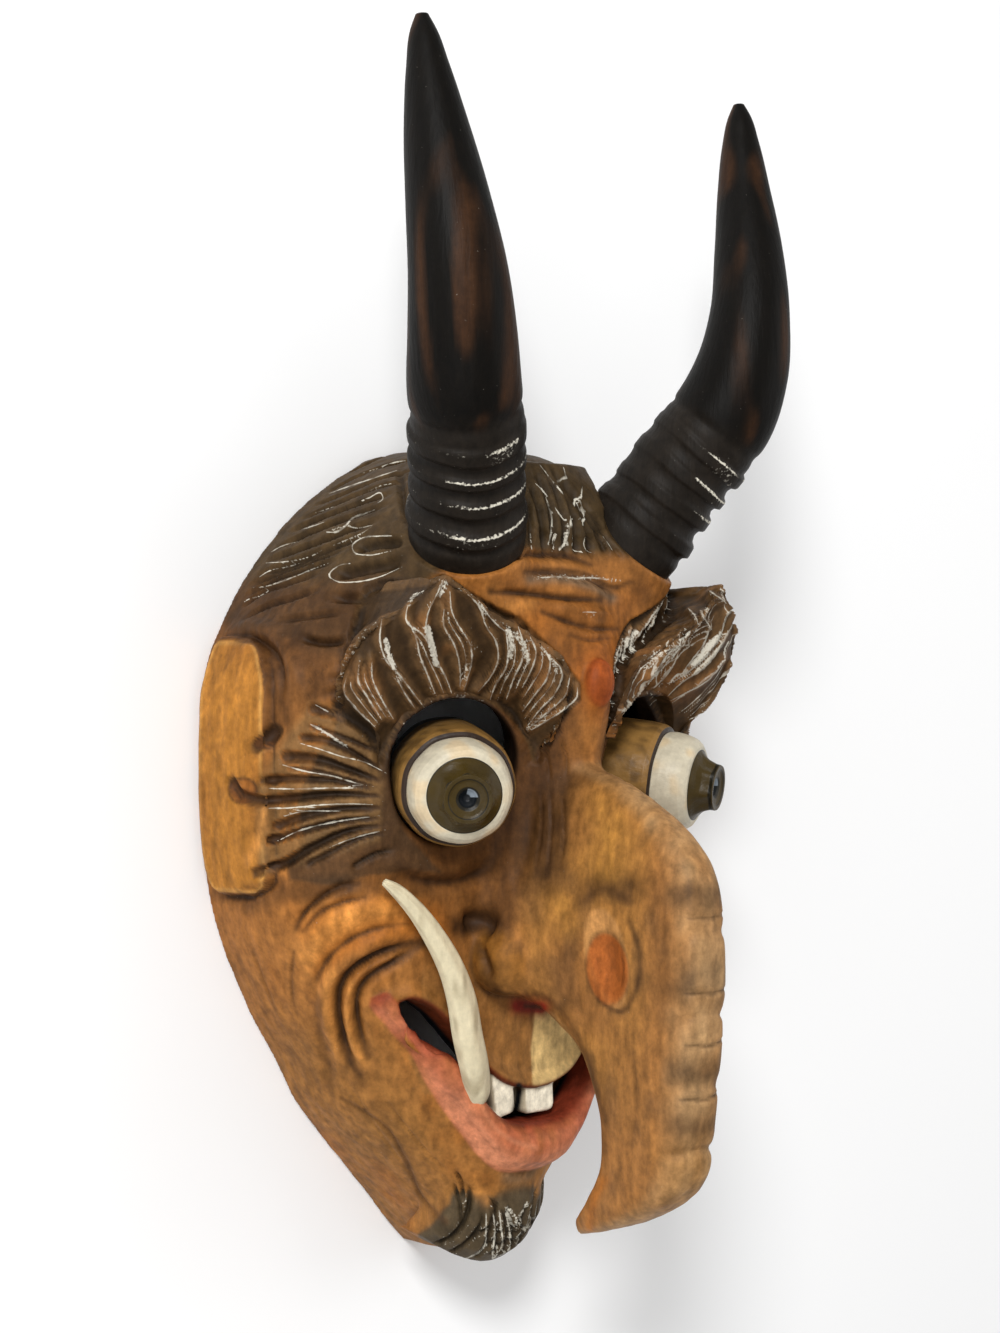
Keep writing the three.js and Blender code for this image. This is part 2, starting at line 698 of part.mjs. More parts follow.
function socketCut(side) {
  const { axis, seat, turn } = eyePlacement(side);
  const up = new THREE.Vector3(0, 1, 0).addScaledVector(axis, -axis.y).normalize();
  const tube = (radius, shift, from, to) => {
    const g = new THREE.CylinderGeometry(radius, radius, to - from, 16);
    g.applyQuaternion(turn);
    const middle = seat.clone().addScaledVector(axis, (from + to) / 2).addScaledVector(up, shift);
    g.translate(middle.x, middle.y, middle.z);
    return solid(g);
  };
  return joined([tube(SOCKET_RADIUS, 0, -48, 40), tube(SOCKET_GAP_RADIUS, SOCKET_GAP_RISE, -48, 30)]);
}

// One carved block: face, brows, hair, ears, trunk, lips, teeth and beard
function maskGeometry() {
  const parts = [headBody(), trunkBody(), lipBody(), upperLipBody(), beardBody(), forelockBody()];
  mirrored((side) => {
    parts.push(browBody(side), earBody(side), foldBody(side), bossBody(side));
    parts.push(lockSheet(side, TEMPLE_LOCKS, 3.6, 6, LOCK_SHAPE));
    parts.push(lockSheet(side, CROWN_LOCKS, 2.6, 6, LOCK_SHAPE));
    parts.push(lump(side * 20, -64, 79, 11.5, 14, 13, 0.2, 10, 6));
    return side;
  });
  parts.push(lump(0, 43, 112, 6.5, 9, 5, 0, 10, 6));
  let body = joined(parts);
  body = body.subtract(hollowBody()).subtract(mouthCut(1, 76)).subtract(mouthCut(1.04, 34)).subtract(floorCut());
  body = joined([body, toothBody(-11.3, -117, 12, 21, 0.1), toothBody(6.8, -119.5, 16.5, 17, 0.03)]);
  mirrored((side) => {
    body = body.subtract(socketCut(side));
    body = body.subtract(lump(side * 16.5, -59, 131, 5.5, 18.5, 10, 0.5, 12, 8));
    body = body.subtract(lump(side * 11, -84, 86, 8, 5, 7, 0.3, 10, 6));
    body = body.subtract(tuskBody(side, SEAT_GAP));
    body = body.subtract(hornBody(side, side < 0 ? 'right' : 'left', SEAT_GAP));
    return side;
  });
  return geometryOf(body);
}

function material(color, roughness) {
  return new THREE.MeshStandardMaterial({ color, roughness, metalness: 0 });
}

function mesh(name, geometry, stuff) {
  const m = new THREE.Mesh(geometry, stuff);
  m.name = name;
  return m;
}

const mask = new THREE.Group();
mask.position.set(0, CENTRE_SHIFT_Y, 0);
mask.add(mesh('mask_face', maskGeometry(), material(0x9a6430, 0.6)));
mask.add(mesh('horn_right', geometryOf(hornBody(-1, 'right', 0)), material(0x33241b, 0.45)));
mask.add(mesh('horn_left', geometryOf(hornBody(1, 'left', 0)), material(0x33241b, 0.45)));
mask.add(mesh('tusk_right', geometryOf(tuskBody(-1, 0)), material(0xd9ccb0, 0.5)));
mask.add(mesh('tusk_left', geometryOf(tuskBody(1, 0)), material(0xd9ccb0, 0.5)));
mirrored((side) => {
  const { seat, turn } = eyePlacement(side);
  const eye = mesh(side < 0 ? 'eye_right' : 'eye_left', geometryOf(solid(eyeGeometry())), material(0xcfc4ac, 0.5));
  eye.position.copy(seat);
  eye.quaternion.copy(turn);
  mask.add(eye);
  return side;
});

export default mask;
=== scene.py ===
# Carved carnival mask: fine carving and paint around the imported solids.
# Shapes are worked out in the face frame, in millimetres, and placed in metres in the row frame.
import math

import bpy
import numpy as np
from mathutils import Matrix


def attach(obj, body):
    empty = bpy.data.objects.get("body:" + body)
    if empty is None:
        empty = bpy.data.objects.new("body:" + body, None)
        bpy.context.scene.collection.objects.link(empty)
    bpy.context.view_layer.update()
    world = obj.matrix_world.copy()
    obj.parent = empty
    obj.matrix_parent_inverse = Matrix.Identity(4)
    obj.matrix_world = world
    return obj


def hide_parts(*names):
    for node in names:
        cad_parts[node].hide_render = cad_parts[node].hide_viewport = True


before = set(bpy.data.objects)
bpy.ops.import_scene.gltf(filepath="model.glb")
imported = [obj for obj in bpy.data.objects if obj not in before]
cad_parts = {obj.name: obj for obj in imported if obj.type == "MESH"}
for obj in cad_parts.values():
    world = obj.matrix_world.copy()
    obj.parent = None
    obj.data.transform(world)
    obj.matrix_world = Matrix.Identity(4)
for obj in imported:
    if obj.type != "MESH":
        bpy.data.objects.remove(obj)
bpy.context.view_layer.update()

import openvdb
from mathutils import Matrix, Vector
from mathutils.bvhtree import BVHTree

# Frames and photograph
MM = 0.001
CENTRE_SHIFT_Y = -46.9
PHOTO_WIDTH = 1000
PHOTO_HEIGHT = 1333
CAMERA_PLACE = np.array([-610.6, 49.0, 780.7])
CAMERA_YAW = math.radians(40)
FOCAL_PIXELS = 2375.0
SENSOR = 36.0

# Volume that the carving is worked out in
STEP = 0.9
BAND = 7.2
LOW = np.array([-118.8, -198, -8.1])
LOW_CELL = tuple(int(round(v)) for v in LOW / STEP)
SHAPE = (265, 391, 213)
FACE_LIMIT = 196000

# Strokes: rays cast along a photograph line, jump that ends it, and reach of a soft one in half widths
LINE_RAYS = 12
EDGE_JUMP = 22
SOFT_REACH = 2.2
# Height of the ear panels, lowest Z of the brows, and unevenness of the whole surface, in millimetres
EAR_RISE = 3.3
BROW_FOOT = 60
CHATTER = 0.35
# Width of the thin white lines against the tables, and the distance kept where there is no line
LINE_WIDTH = 0.7
NO_LINE = 9.0

# Head sections from crown to chin: height Y, half width, depth, squareness, midline rise
SECTIONS = [
    [137, 12, 34, 2.0, 0], [134, 25, 60, 2.2, 0], [129, 35, 75, 2.4, 0], [110, 63, 91, 2.6, 0],
    [97, 76, 94, 2.7, 0], [82, 88, 96, 2.8, 4], [67, 97, 98, 3.0, 8], [50, 104.5, 97, 3.2, 14],
    [34, 107.5, 90, 3.4, 22], [10, 108, 82, 3.6, 24], [-16, 107, 78, 3.6, 16], [-34, 104.5, 76, 3.5, 6],
    [-54, 99.5, 74, 3.3, 0], [-72, 92, 72, 3.1, 0], [-88, 84, 70, 3.0, 0], [-106, 73, 69, 2.8, 0],
    [-124, 63, 68, 2.7, 0], [-140, 50, 67, 2.6, 0], [-156, 36, 64, 2.5, 0], [-170, 24, 58, 2.4, 0],
    [-181, 15, 50, 2.3, 0], [-188, 8, 38, 2.0, 0],
]
MIDLINE_SPREAD = 20
WALL_SIDE = 15
WALL_FRONT = 16
HOLLOW_TOP = 119
HOLLOW_FOOT = -171

# Nose trunk: front edge Y Z, back edge Y Z, half thickness, widening at the back
TRUNK = [
    [27, 90, -72, 58, 27, 0.35], [15, 103, -78, 74, 22, 0.5], [10, 111, -81, 83, 18.5, 0.45],
    [5, 126, -85, 92, 15.5, 0.35], [-2, 141, -90, 98, 14, 0.2], [-11, 156, -94, 103.5, 13.5, 0.1],
    [-23, 167, -98, 107.5, 13.5, 0], [-36, 171.5, -102, 110.5, 13.5, 0], [-60, 173, -108, 114, 13.5, 0],
    [-88, 171, -117, 118.5, 13.5, 0], [-114, 168, -127, 120.5, 13, 0], [-135, 165, -136.5, 120, 12.5, 0],
    [-147, 156, -144, 117.5, 12, 0], [-157, 139, -151, 113, 11, 0], [-164, 120, -157, 108.5, 9, 0],
    [-168, 106, -161.5, 104, 6, 0],
]
TRUNK_NOTCHES = [-44.5, -75, -102, -127]
NOTCH_DEPTH = 2.6

# Horns: centre line X Y Z and radius, from the seat in the head to the tip
HORN_LINE = {
    "right": [
        [40.4, 96.5, 81.6, 22], [43, 102, 85, 22.5], [49, 115, 93, 21], [54, 126.5, 99, 21],
        [60, 138.5, 106, 21], [66.5, 152, 112, 21], [70.5, 168, 116, 20], [74, 189, 118, 18.3],
        [77, 215, 116, 15.6], [79, 243, 111.5, 11.9], [80.3, 266, 108, 7.8], [80.7, 279, 106, 4.8],
        [80.9, 284.5, 105.5, 2.4],
    ],
    "left": [
        [40.4, 96.5, 81.6, 21.5], [43, 102, 85, 22], [49, 114, 92, 20.5], [54, 125, 98, 20.5],
        [60, 136, 105, 20.5], [66, 149, 113, 20.6], [69.8, 166, 119, 18.8], [72.5, 188, 121, 16],
        [76, 215, 117, 13.6], [79, 240, 111.5, 10.6], [80.3, 260, 108.5, 7.4], [80.6, 271, 107.5, 4.6],
        [80.7, 276, 107, 2.2],
    ],
}
HORN_BOSS = [[29.4, 72.8, 66.9, 29], [35, 84.7, 74.3, 26], [40.4, 96.5, 81.6, 23.8]]
RING_START = 12
RING_PITCH = 11.5
RING_COUNT = 4
RING_WIDTH = 5.4
RING_RISE = 1.8
RING_END = RING_START + RING_COUNT * RING_PITCH
OUTER_SIDE = math.pi

# Turned eyes
EYE_SEAT = [41.3, 6.2, 71.3]
EYE_AXIS = [0.49, -0.12, 0.863]
SOCKET_RADIUS = 23.8
SOCKET_GAP_RADIUS = 25
SOCKET_GAP_RISE = 8

# Tusks: centre line X Y Z and radius, root to tip
TUSK_LINE = {
    "right": [
        [25.5, -121, 66, 4.3], [28.5, -115, 73, 4.9], [33.5, -104, 77.5, 5.6], [38.5, -91, 79.5, 5.8],
        [42, -78, 80.5, 5.6], [47, -66, 81, 5], [54.5, -53.5, 80.5, 4.3], [64.5, -41, 79.5, 3.3],
        [73, -33.5, 78.5, 2.2], [77, -31, 78, 1.2],
    ],
    "left": [
        [41, -112, 66, 4.3], [41.5, -106, 72, 4.9], [42.5, -98, 76.5, 5.6], [44, -88, 79.5, 5.8],
        [46.5, -77, 80.8, 5.6], [50.5, -66, 81, 5], [56.5, -53.5, 80.5, 4.3], [65, -41, 79.5, 3.3],
        [73, -33.5, 78.5, 2.2], [77, -31, 78, 1.2],
    ],
}

# Brows: edge of the eye gap and free crest, nose side to temple side
BROW_EDGE = [
    [17, 9, 86], [21, 21, 89], [28, 31, 90], [38, 38, 90], [48, 38.5, 87.5], [58, 34, 84],
    [66, 27, 79.5], [72, 18, 75], [75, 9, 71],
]
BROW_CREST = [
    [13, 33, 108], [16, 47, 114], [33, 58, 116], [53, 68.5, 113.5], [71, 80.5, 109], [86, 69, 100],
    [98, 55, 89], [97, 39, 79], [82, 24, 72],
]
BROW_LOCKS = [0, 0.09, 0.2, 0.31, 0.42, 0.52, 0.62, 0.72, 0.81, 0.9, 1]
FLUTES_PER_LOCK = 3
CREST_LEAN = 0.03

# Lumps: centre on the near side, radii and tilt, and teeth: middle, size and turn
WING = ((20, -64, 79), (11.5, 14, 13), 0.2)
SPOT = ((0, 43, 112), (6.5, 9, 4.6), 0)
TRUNK_DENT = ((16.5, -59, 131), (5.5, 18.5, 10), -0.31)
NOSTRIL = ((12, -86.5, 85), (9.5, 5.5, 8), 0.3)
TEETH = [(-11.6, -117, 11, 21, 0.14), (7.2, -119.5, 15.4, 17, 0.03)]
TOOTH_LEVEL = 63.5
TOOTH_DEPTH = 11

# Mouth: distance from its middle and height Y
MOUTH_HALF = 60
LIP_HALF = 69
MOUTH_SHIFT = 5
UPPER_LINE = [
    [0, -118], [10, -116.5], [20, -112], [26, -107], [33, -99], [40, -91], [46, -84.5], [52, -79.8],
    [57, -77.8], [60, -79],
]
LOWER_LINE = [
    [0, -130.5], [12, -129.5], [20, -126], [28, -117.5], [34, -108.5], [40, -101], [46, -96.5], [55, -89.5],
    [60, -83],
]
LIP_INNER_LINE = LOWER_LINE[:-1] + [[60, -80.5], [64, -75.5], [69, -77.5]]
LIP_OUTER_LINE = [
    [0, -151.5], [14, -150.3], [25, -142.5], [33, -132.5], [40, -123], [47, -111], [52, -101], [59, -92],
    [65, -85], [69, -80],
]

# Paint, as ordinary screen colours
PAINT = {
    "skin": (166, 108, 52), "skin_dark": (84, 54, 28), "skin_warm": (186, 112, 42),
    "skin_bright": (226, 152, 74), "skin_olive": (156, 108, 54), "stain_and_shade": (62, 40, 22),
    "ear": (178, 118, 46), "ear_dark": (120, 66, 26), "ear_rim": (222, 168, 92), "ochre": (128, 96, 58),
    "flute": (66, 50, 34), "hair": (72, 56, 34), "temple": (66, 50, 34), "grey": (112, 98, 80),
    "brow": (98, 72, 44), "brow_warm": (132, 96, 60), "brow_glow": (138, 92, 50),
    "white": (210, 204, 188), "trunk": (162, 110, 58), "trunk_dark": (74, 54, 36),
    "trunk_glow": (190, 134, 58), "trunk_pale": (188, 150, 104), "muzzle": (150, 104, 54),
    "muzzle_pale": (232, 196, 130), "wing": (150, 98, 38), "lip": (180, 84, 54),
    "lip_light": (222, 146, 106), "lip_dark": (122, 44, 26), "mouth": (104, 40, 22),
    "cream": (212, 200, 168), "tooth": (250, 240, 216), "cream_dark": (150, 134, 104),
    "almond": (168, 92, 38), "almond_rim": (196, 140, 80), "red": (150, 64, 26),
    "red_glow": (172, 92, 34), "nostril": (134, 40, 24), "beard": (84, 70, 50), "inside": (44, 36, 30),
    "socket": (44, 30, 20), "horn": (10, 7, 4), "horn_warm": (62, 38, 20), "horn_ring": (40, 34, 28),
    "sleeve": (140, 104, 54), "sleeve_dark": (44, 30, 20), "eye_white": (206, 196, 172),
    "eye_tan": (196, 172, 134), "iris": (58, 44, 6), "iris_dark": (26, 22, 10), "pupil_and_gap_shade": (12, 16, 20),
    "glint": (150, 160, 170), "floor": (246, 246, 246),
}


def smooth_step(low, high, value):
    t = np.clip((value - low) / (high - low), 0, 1)
    return t * t * (3 - 2 * t)


def spline(keys, rows, at, limited=True):
    """Smooth curve through rows at rising keys; limited slopes don't overshoot."""
    keys = np.asarray(keys, float)
    rows = np.asarray(rows, float)
    at = np.clip(np.atleast_1d(np.asarray(at, float)), keys[0], keys[-1])
    step = np.diff(keys)[:, None]
    secant = np.diff(rows, axis=0) / step
    slope = np.zeros_like(rows)
    slope[0] = secant[0]
    slope[-1] = secant[-1]
    slope[1:-1] = (secant[:-1] * step[1:] + secant[1:] * step[:-1]) / (step[1:] + step[:-1])
    if limited:
        cap = 2.6 * np.minimum(np.abs(secant[:-1]), np.abs(secant[1:]))
        slope[1:-1] = np.where(secant[:-1] * secant[1:] <= 0, 0, np.clip(slope[1:-1], -cap, cap))
    k = np.clip(np.searchsorted(keys, at, side="right") - 1, 0, len(keys) - 2)
    h = step[k]
    t = ((at - keys[k])[:, None]) / h
    a = (2 * t ** 3 - 3 * t ** 2 + 1) * rows[k] + (t ** 3 - 2 * t ** 2 + t) * h * slope[k]
    return a + (3 * t ** 2 - 2 * t ** 3) * rows[k + 1] + (t ** 3 - t ** 2) * h * slope[k + 1]


def line_through(points, count):
    """Evenly spaced points on a smooth curve through the given points."""
    points = np.asarray(points, float)
    if len(points) == 2:
        return points[0] + (points[1] - points[0]) * np.linspace(0, 1, count)[:, None]
    run = np.r_[0, np.cumsum(np.linalg.norm(np.diff(points[:, :3], axis=0), axis=1))]
    fine = spline(run, points, np.linspace(0, run[-1], count * 4), limited=False)
    walk = np.r_[0, np.cumsum(np.linalg.norm(np.diff(fine[:, :3], axis=0), axis=1))]
    goals = np.linspace(0, walk[-1], count)
    return np.stack([np.interp(goals, walk, fine[:, n]) for n in range(points.shape[1])], 1)


def unit(v):
    return v / np.maximum(np.linalg.norm(v, axis=-1, keepdims=True), 1e-9)


def mirror(points, side):
    return np.asarray(points, float) * np.array([side, 1, 1])


# Head form
SECTION_TABLE = np.array(SECTIONS, float)


def head_row(y):
    return spline(-SECTION_TABLE[:, 0], SECTION_TABLE[:, 1:], -np.asarray(y, float).ravel())


def face_depth(x, y):
    x, y = np.broadcast_arrays(np.asarray(x, float), np.asarray(y, float))
    row = head_row(y)
    width, depth, power, rise = row.T
    flat = x.ravel()
    inside = np.clip(1 - (np.abs(flat) / width) ** power, 0, None)
    z = depth * inside ** (1 / power) + rise * np.exp(-((flat / MIDLINE_SPREAD) ** 2))
    return z.reshape(x.shape)


def section_arc(width, depth, power, count):
    """Quarter section from the midline to the rim, evenly spaced."""
    a = np.pi / 2 * (1 - np.linspace(0, 1, 120))
    x = width * np.cos(a) ** (2 / power)
    z = depth * np.sin(a) ** (2 / power)
    run = np.r_[0, np.cumsum(np.hypot(np.diff(x), np.diff(z)))]
    goals = np.linspace(0, run[-1], count)
    return np.interp(goals, run, x), np.interp(goals, run, z)


def head_rings(levels, columns, side_wall, front_wall, back):
    """Section rings of the head, or of the hollow behind it."""
    rings = []
    for y, (width, depth, power, rise) in zip(levels, head_row(levels)):
        x, z = section_arc(width - side_wall, depth - front_wall, power, columns)
        if front_wall == 0:
            z = z + rise * np.exp(-((x / MIDLINE_SPREAD) ** 2))
        half = np.stack([x, np.full_like(x, y), z], 1)
        ring = np.r_[mirror(half[::-1], -1), half[1:]]
        reach = width - side_wall
        rings.append(np.r_[ring, [[reach, y, back], [-reach, y, back]]])
    return np.array(rings)


def loft(rings):
    """Closed surface through rings with equal point counts: points, quads and cap triangles."""
    rings = np.asarray(rings, float)
    n, m = rings.shape[:2]
    index = np.arange(n * m).reshape(n, m)
    ahead = np.roll(index, -1, axis=1)
    quads = np.stack([index[:-1], ahead[:-1], ahead[1:], index[1:]], -1).reshape(-1, 4)
    points = np.r_[rings.reshape(-1, 3), [rings[0].mean(0)], [rings[-1].mean(0)]]
    first = np.stack([np.full(m, n * m), ahead[0], index[0]], -1)
    last = np.stack([np.full(m, n * m + 1), index[-1], ahead[-1]], -1)
    tris = np.r_[first, last]
    if volume(points, quads, tris) < 0:
        quads = quads[:, ::-1]
        tris = tris[:, ::-1]
    return points, quads, tris


def volume(points, quads, tris):
    corners = np.r_[quads[:, [0, 1, 2]], quads[:, [0, 2, 3]], tris]
    a, b, c = (points[corners[:, n]] for n in range(3))
    return float((a * np.cross(b, c)).sum())


def trunk_rings():
    table = np.array(TRUNK, float)
    place = np.linspace(0, len(table) - 1, 150)
    rows = spline(np.arange(len(table)), table, place)
    a = np.linspace(0, 2 * np.pi, 64, endpoint=False)
    power = 0.62
    c = np.sign(np.cos(a)) * np.abs(np.cos(a)) ** power
    s = np.sign(np.sin(a)) * np.abs(np.sin(a)) ** power
    rings = []
    for fy, fz, by, bz, half, widen in rows:
        notch = sum(math.exp(-abs(fy - level) / 1.9) for level in TRUNK_NOTCHES)
        span = math.hypot(fy - by, fz - bz)
        front = smooth_step(0.35, 1, c)
        along = c - front * 2 * NOTCH_DEPTH * notch / span
        x = half * s * (1 - widen * c) * (1 - 0.13 * notch * smooth_step(0.2, 0.9, c))
        y = (fy + by) / 2 + (fy - by) / 2 * along
        z = (fz + bz) / 2 + (fz - bz) / 2 * along
        rings.append(np.stack([x, y, z], 1))
    return np.array(rings)


def brow_frame(t):
    """Gap edge, crest tip, direction and outward face of the brow at shares t of its length."""
    t = np.atleast_1d(np.asarray(t, float))
    edge = line_through(BROW_EDGE, 200)
    crest = line_through(BROW_CREST, 200)
    share = np.linspace(0, 1, 200)
    pick = lambda line, at: np.stack([np.interp(at, share, line[:, n]) for n in range(3)], 1)
    low = pick(edge, np.clip(t, 0, 1))
    high = pick(crest, np.clip(t + CREST_LEAN * np.sin(np.pi * t), 0, 1))
    out = unit(high - low)
    face = np.array([0, 0, 1.0]) - out * out[:, 2:3]
    return low, high, out, unit(face)


def brow_rings():
    t = np.linspace(0, 1, 140)
    low, high, out, face = brow_frame(t)
    flat = unit(out * np.array([1, 1, 0]))
    tip = high + out * 1.5
    bulge = [(0.0, 0), (0.12, 2.4), (0.3, 4.2), (0.5, 5.2), (0.7, 5), (0.88, 3.4), (0.97, 1.2)]
    root = low + flat * 3
    root[:, 2] = face_depth(root[:, 0], root[:, 1]) - 12
    ring = [root] + [low + (tip - low) * f + face * lift for f, lift in bulge]
    ring.append(tip + flat * 0.8 + np.array([0, 0, -2.5]))
    for push, sink in ((1, 0), (5, 8)):
        y = tip[:, 1] - push
        x = np.minimum(np.abs(tip[:, 0]), 0.86 * head_row(y)[:, 0])
        ring.append(np.stack([x, y, face_depth(x, y) - sink], 1))
    return np.stack(ring, 1)


def sweep_rings(line, stations, sides, lift=None):
    """Round rings on a centre line with a radius in its fourth column."""
    path = line_through(line, stations)
    centre = path[:, :3]
    along = unit(np.gradient(centre, axis=0))
    across = unit(np.cross(np.array([0, 0, 1.0]), along))
    up = unit(np.cross(along, across))
    a = np.linspace(0, 2 * np.pi, sides, endpoint=False)
    radius = path[:, 3][:, None] + (0 if lift is None else lift(path, a))
    ring = np.cos(a)[None, :, None] * across[:, None] + np.sin(a)[None, :, None] * up[:, None]
    return centre[:, None] + ring * radius[..., None], path, a


def ellipsoid_rings(centre, radii, tilt=0.0):
    v = np.linspace(0.06, np.pi - 0.06, 26)
    a = np.linspace(0, 2 * np.pi, 40, endpoint=False)
    x = np.sin(v)[:, None] * np.cos(a)[None] * radii[0]
    y = np.cos(v)[:, None] * radii[1] + 0 * x
    z = np.sin(v)[:, None] * np.sin(a)[None] * radii[2]
    c, s = math.cos(tilt), math.sin(tilt)
    return np.stack([x + centre[0], y * c - z * s + centre[1], y * s + z * c + centre[2]], -1)


def level_on(line, x):
    """Height of a mouth line at x; the two halves meet a little off the midline."""
    table = np.array(line, float)
    away = np.abs(x - MOUTH_SHIFT * np.maximum(0, 1 - (x / MOUTH_HALF) ** 2))
    return spline(table[:, 0], table[:, 1:], away)[:, 0]


def lip_rings():
    x = np.linspace(-LIP_HALF, LIP_HALF, 150)
    fade = np.clip(np.cos(x / LIP_HALF * np.pi / 2), 0, None) ** 0.6
    inner = level_on(LIP_INNER_LINE, x) + 1
    outer = np.minimum(level_on(LIP_OUTER_LINE, x), inner - 2)
    swell = 2.5 + 8.5 * fade
    profile = [
        (0, -10, 0), (0, 0, 0.25), (0.1, 0, 0.55), (0.24, 0, 0.86), (0.42, 0, 1), (0.6, 0, 0.97),
        (0.76, 0, 0.8), (0.9, 0, 0.42), (1, -1.5, 0), (0.6, -10, 0),
    ]
    ring = []
    for f, sink, rise in profile:
        y = inner + (outer - inner) * f
        ring.append(np.stack([x, y, face_depth(x, y) + sink + swell * rise], 1))
    return np.stack(ring, 1)


def muzzle_rings():
    x = np.linspace(-MOUTH_HALF - 3, MOUTH_HALF + 3, 120)
    base = level_on(UPPER_LINE, x)
    profile = [(-1, -9), (-1, 1.8), (0.4, 2.9), (2.5, 3), (4.6, 1.4), (6.5, -1), (3, -9)]
    ring = []
    for rise, lift in profile:
        ring.append(np.stack([x, base + rise, face_depth(x, base + rise) + lift], 1))
    return np.stack(ring, 1)


def beard_rings():
    s = np.linspace(-1, 1, 90)
    x = s * 25
    drop = 34 - 12 * s * s
    profile = [(-0.12, -2), (0.05, 0.5), (0.2, 2.4), (0.5, 4), (0.82, 3.6), (0.96, 0), (0.9, -18),
               (0.4, -12)]
    ring = []
    for v, lift in profile:
        z = (63 - 17 * v * v) * (1 - 0.22 * s * s) + lift
        ring.append(np.stack([x * (1 + 0.05 * v), -157 - drop * v, z], 1))
    return np.stack(ring, 1)


def forelock_rings():
    s = np.linspace(-1, 1, 80)
    profile = [(0, -8), (0.02, -1.5), (0.2, 3), (0.6, 4), (0.85, 2.4), (0.97, -1), (0.9, -9), (0.5, -9)]
    ring = []
    for v, lift in profile:
        y = 129 - (35 - 6 * s * s) * v
        x = s * (24 - 5 * v)
        z = np.maximum(face_depth(x, np.minimum(y, 122)), 74) + lift
        ring.append(np.stack([x, y, z], 1))
    return np.stack(ring, 1)


def box_rings(x, y, z, width, height, depth, turn):
    rings = []
    for dz in (-depth / 2, -depth / 2 + 1, depth / 2 - 1.2, depth / 2):
        edge = 0.9 if abs(dz) == depth / 2 else 1
        ring = []
        for a in np.linspace(0, 2 * np.pi, 32, endpoint=False):
            px = np.sign(math.cos(a)) * abs(math.cos(a)) ** 0.3 * width / 2 * edge
            py = np.sign(math.sin(a)) * abs(math.sin(a)) ** 0.3 * height / 2 * edge
            ring.append([x + px * math.cos(turn) - py * math.sin(turn),
                         y + px * math.sin(turn) + py * math.cos(turn), z + dz])
        rings.append(ring)
    return np.array(rings)


# Volume work: signed distances on one grid
def field_of(rings):
    points, quads, tris = loft(rings)
    grid = openvdb.FloatGrid.createLevelSetFromPolygons(
        (points / STEP).astype(np.float32), triangles=tris.astype(np.uint32), quads=quads.astype(np.uint32),
        transform=openvdb.createLinearTransform(voxelSize=1.0), halfWidth=BAND / STEP)
    field = np.full(SHAPE, BAND / STEP, np.float32)
    grid.copyToArray(field, ijk=LOW_CELL)
    return field * np.float32(STEP)


def join_soft(a, b, reach):
    h = np.clip(0.5 + 0.5 * (b - a) / reach, 0, 1).astype(np.float32)
    return b * (1 - h) + a * h - reach * h * (1 - h)


def cut_soft(a, b, reach):
    return -join_soft(-a, b, reach)


def tube_field(side, radius, shift, first, last):
    """Distance to a cylinder on the eye's axis, moved up by shift."""
    axis = unit(mirror(EYE_AXIS, side))
    seat = mirror(EYE_SEAT, side)
    up = unit(np.array([0, 1, 0]) - axis * axis[1])
    base = seat + up * shift
    dx, dy, dz = (GRID_X - base[0], GRID_Y - base[1], GRID_Z - base[2])
    along = dx * axis[0] + dy * axis[1] + dz * axis[2]
    away = np.sqrt(np.maximum(dx * dx + dy * dy + dz * dz - along * along, 0))
    return np.maximum(away - radius, np.maximum(first - along, along - last)).astype(np.float32)


GRID_X = ((LOW[0] + np.arange(SHAPE[0]) * STEP)[:, None, None]).astype(np.float32)
GRID_Y = ((LOW[1] + np.arange(SHAPE[1]) * STEP)[None, :, None]).astype(np.float32)
GRID_Z = ((LOW[2] + np.arange(SHAPE[2]) * STEP)[None, None, :]).astype(np.float32)


def mouth_field(grow, reach, spare):
    x = GRID_X[:, 0, 0] / grow
    y = GRID_Y[0, :, 0][None, :]
    top = (level_on(UPPER_LINE, x) + spare)[:, None]
    low = (np.minimum(level_on(LOWER_LINE, x), level_on(UPPER_LINE, x) - 3) - spare)[:, None]
    slope = np.sqrt(1 + np.gradient(top[:, 0], STEP) ** 2)[:, None]
    flat = np.maximum(y - top, low - y) / slope
    flat = np.maximum(flat, (np.abs(GRID_X[:, 0, 0]) - MOUTH_HALF * grow)[:, None])
    return np.maximum(flat[:, :, None], np.maximum(20 - GRID_Z, GRID_Z - reach)).astype(np.float32)


def corner_weights(f):
    """The eight corners of a cell, each with its weight at shares f of the way across."""
    for corner in np.ndindex(2, 2, 2):
        wx, wy, wz = (f[:, n] if corner[n] else 1 - f[:, n] for n in range(3))
        yield corner, wx * wy * wz


def sample(field, points):
    """Value of a grid field at points, linear between the grid's corners."""
    place = np.clip((points - LOW) / STEP, 0, np.array(SHAPE) - 1.001)
    i = place.astype(int)
    total = 0
    for (dx, dy, dz), weight in corner_weights((place - i).astype(np.float32)):
        total = total + weight * field[i[:, 0] + dx, i[:, 1] + dy, i[:, 2] + dz].astype(np.float32)
    return total


MEMBERS = {}


def keep(name, field):
    """Also notes how far each place is from the named form."""
    half = field.astype(np.float16)
    MEMBERS[name] = np.minimum(MEMBERS[name], half) if name in MEMBERS else half
    return field


def lump(name, form, side=1):
    (x, y, z), radii, tilt = form
    return keep(name, field_of(ellipsoid_rings((side * x, y, z), radii, tilt)))


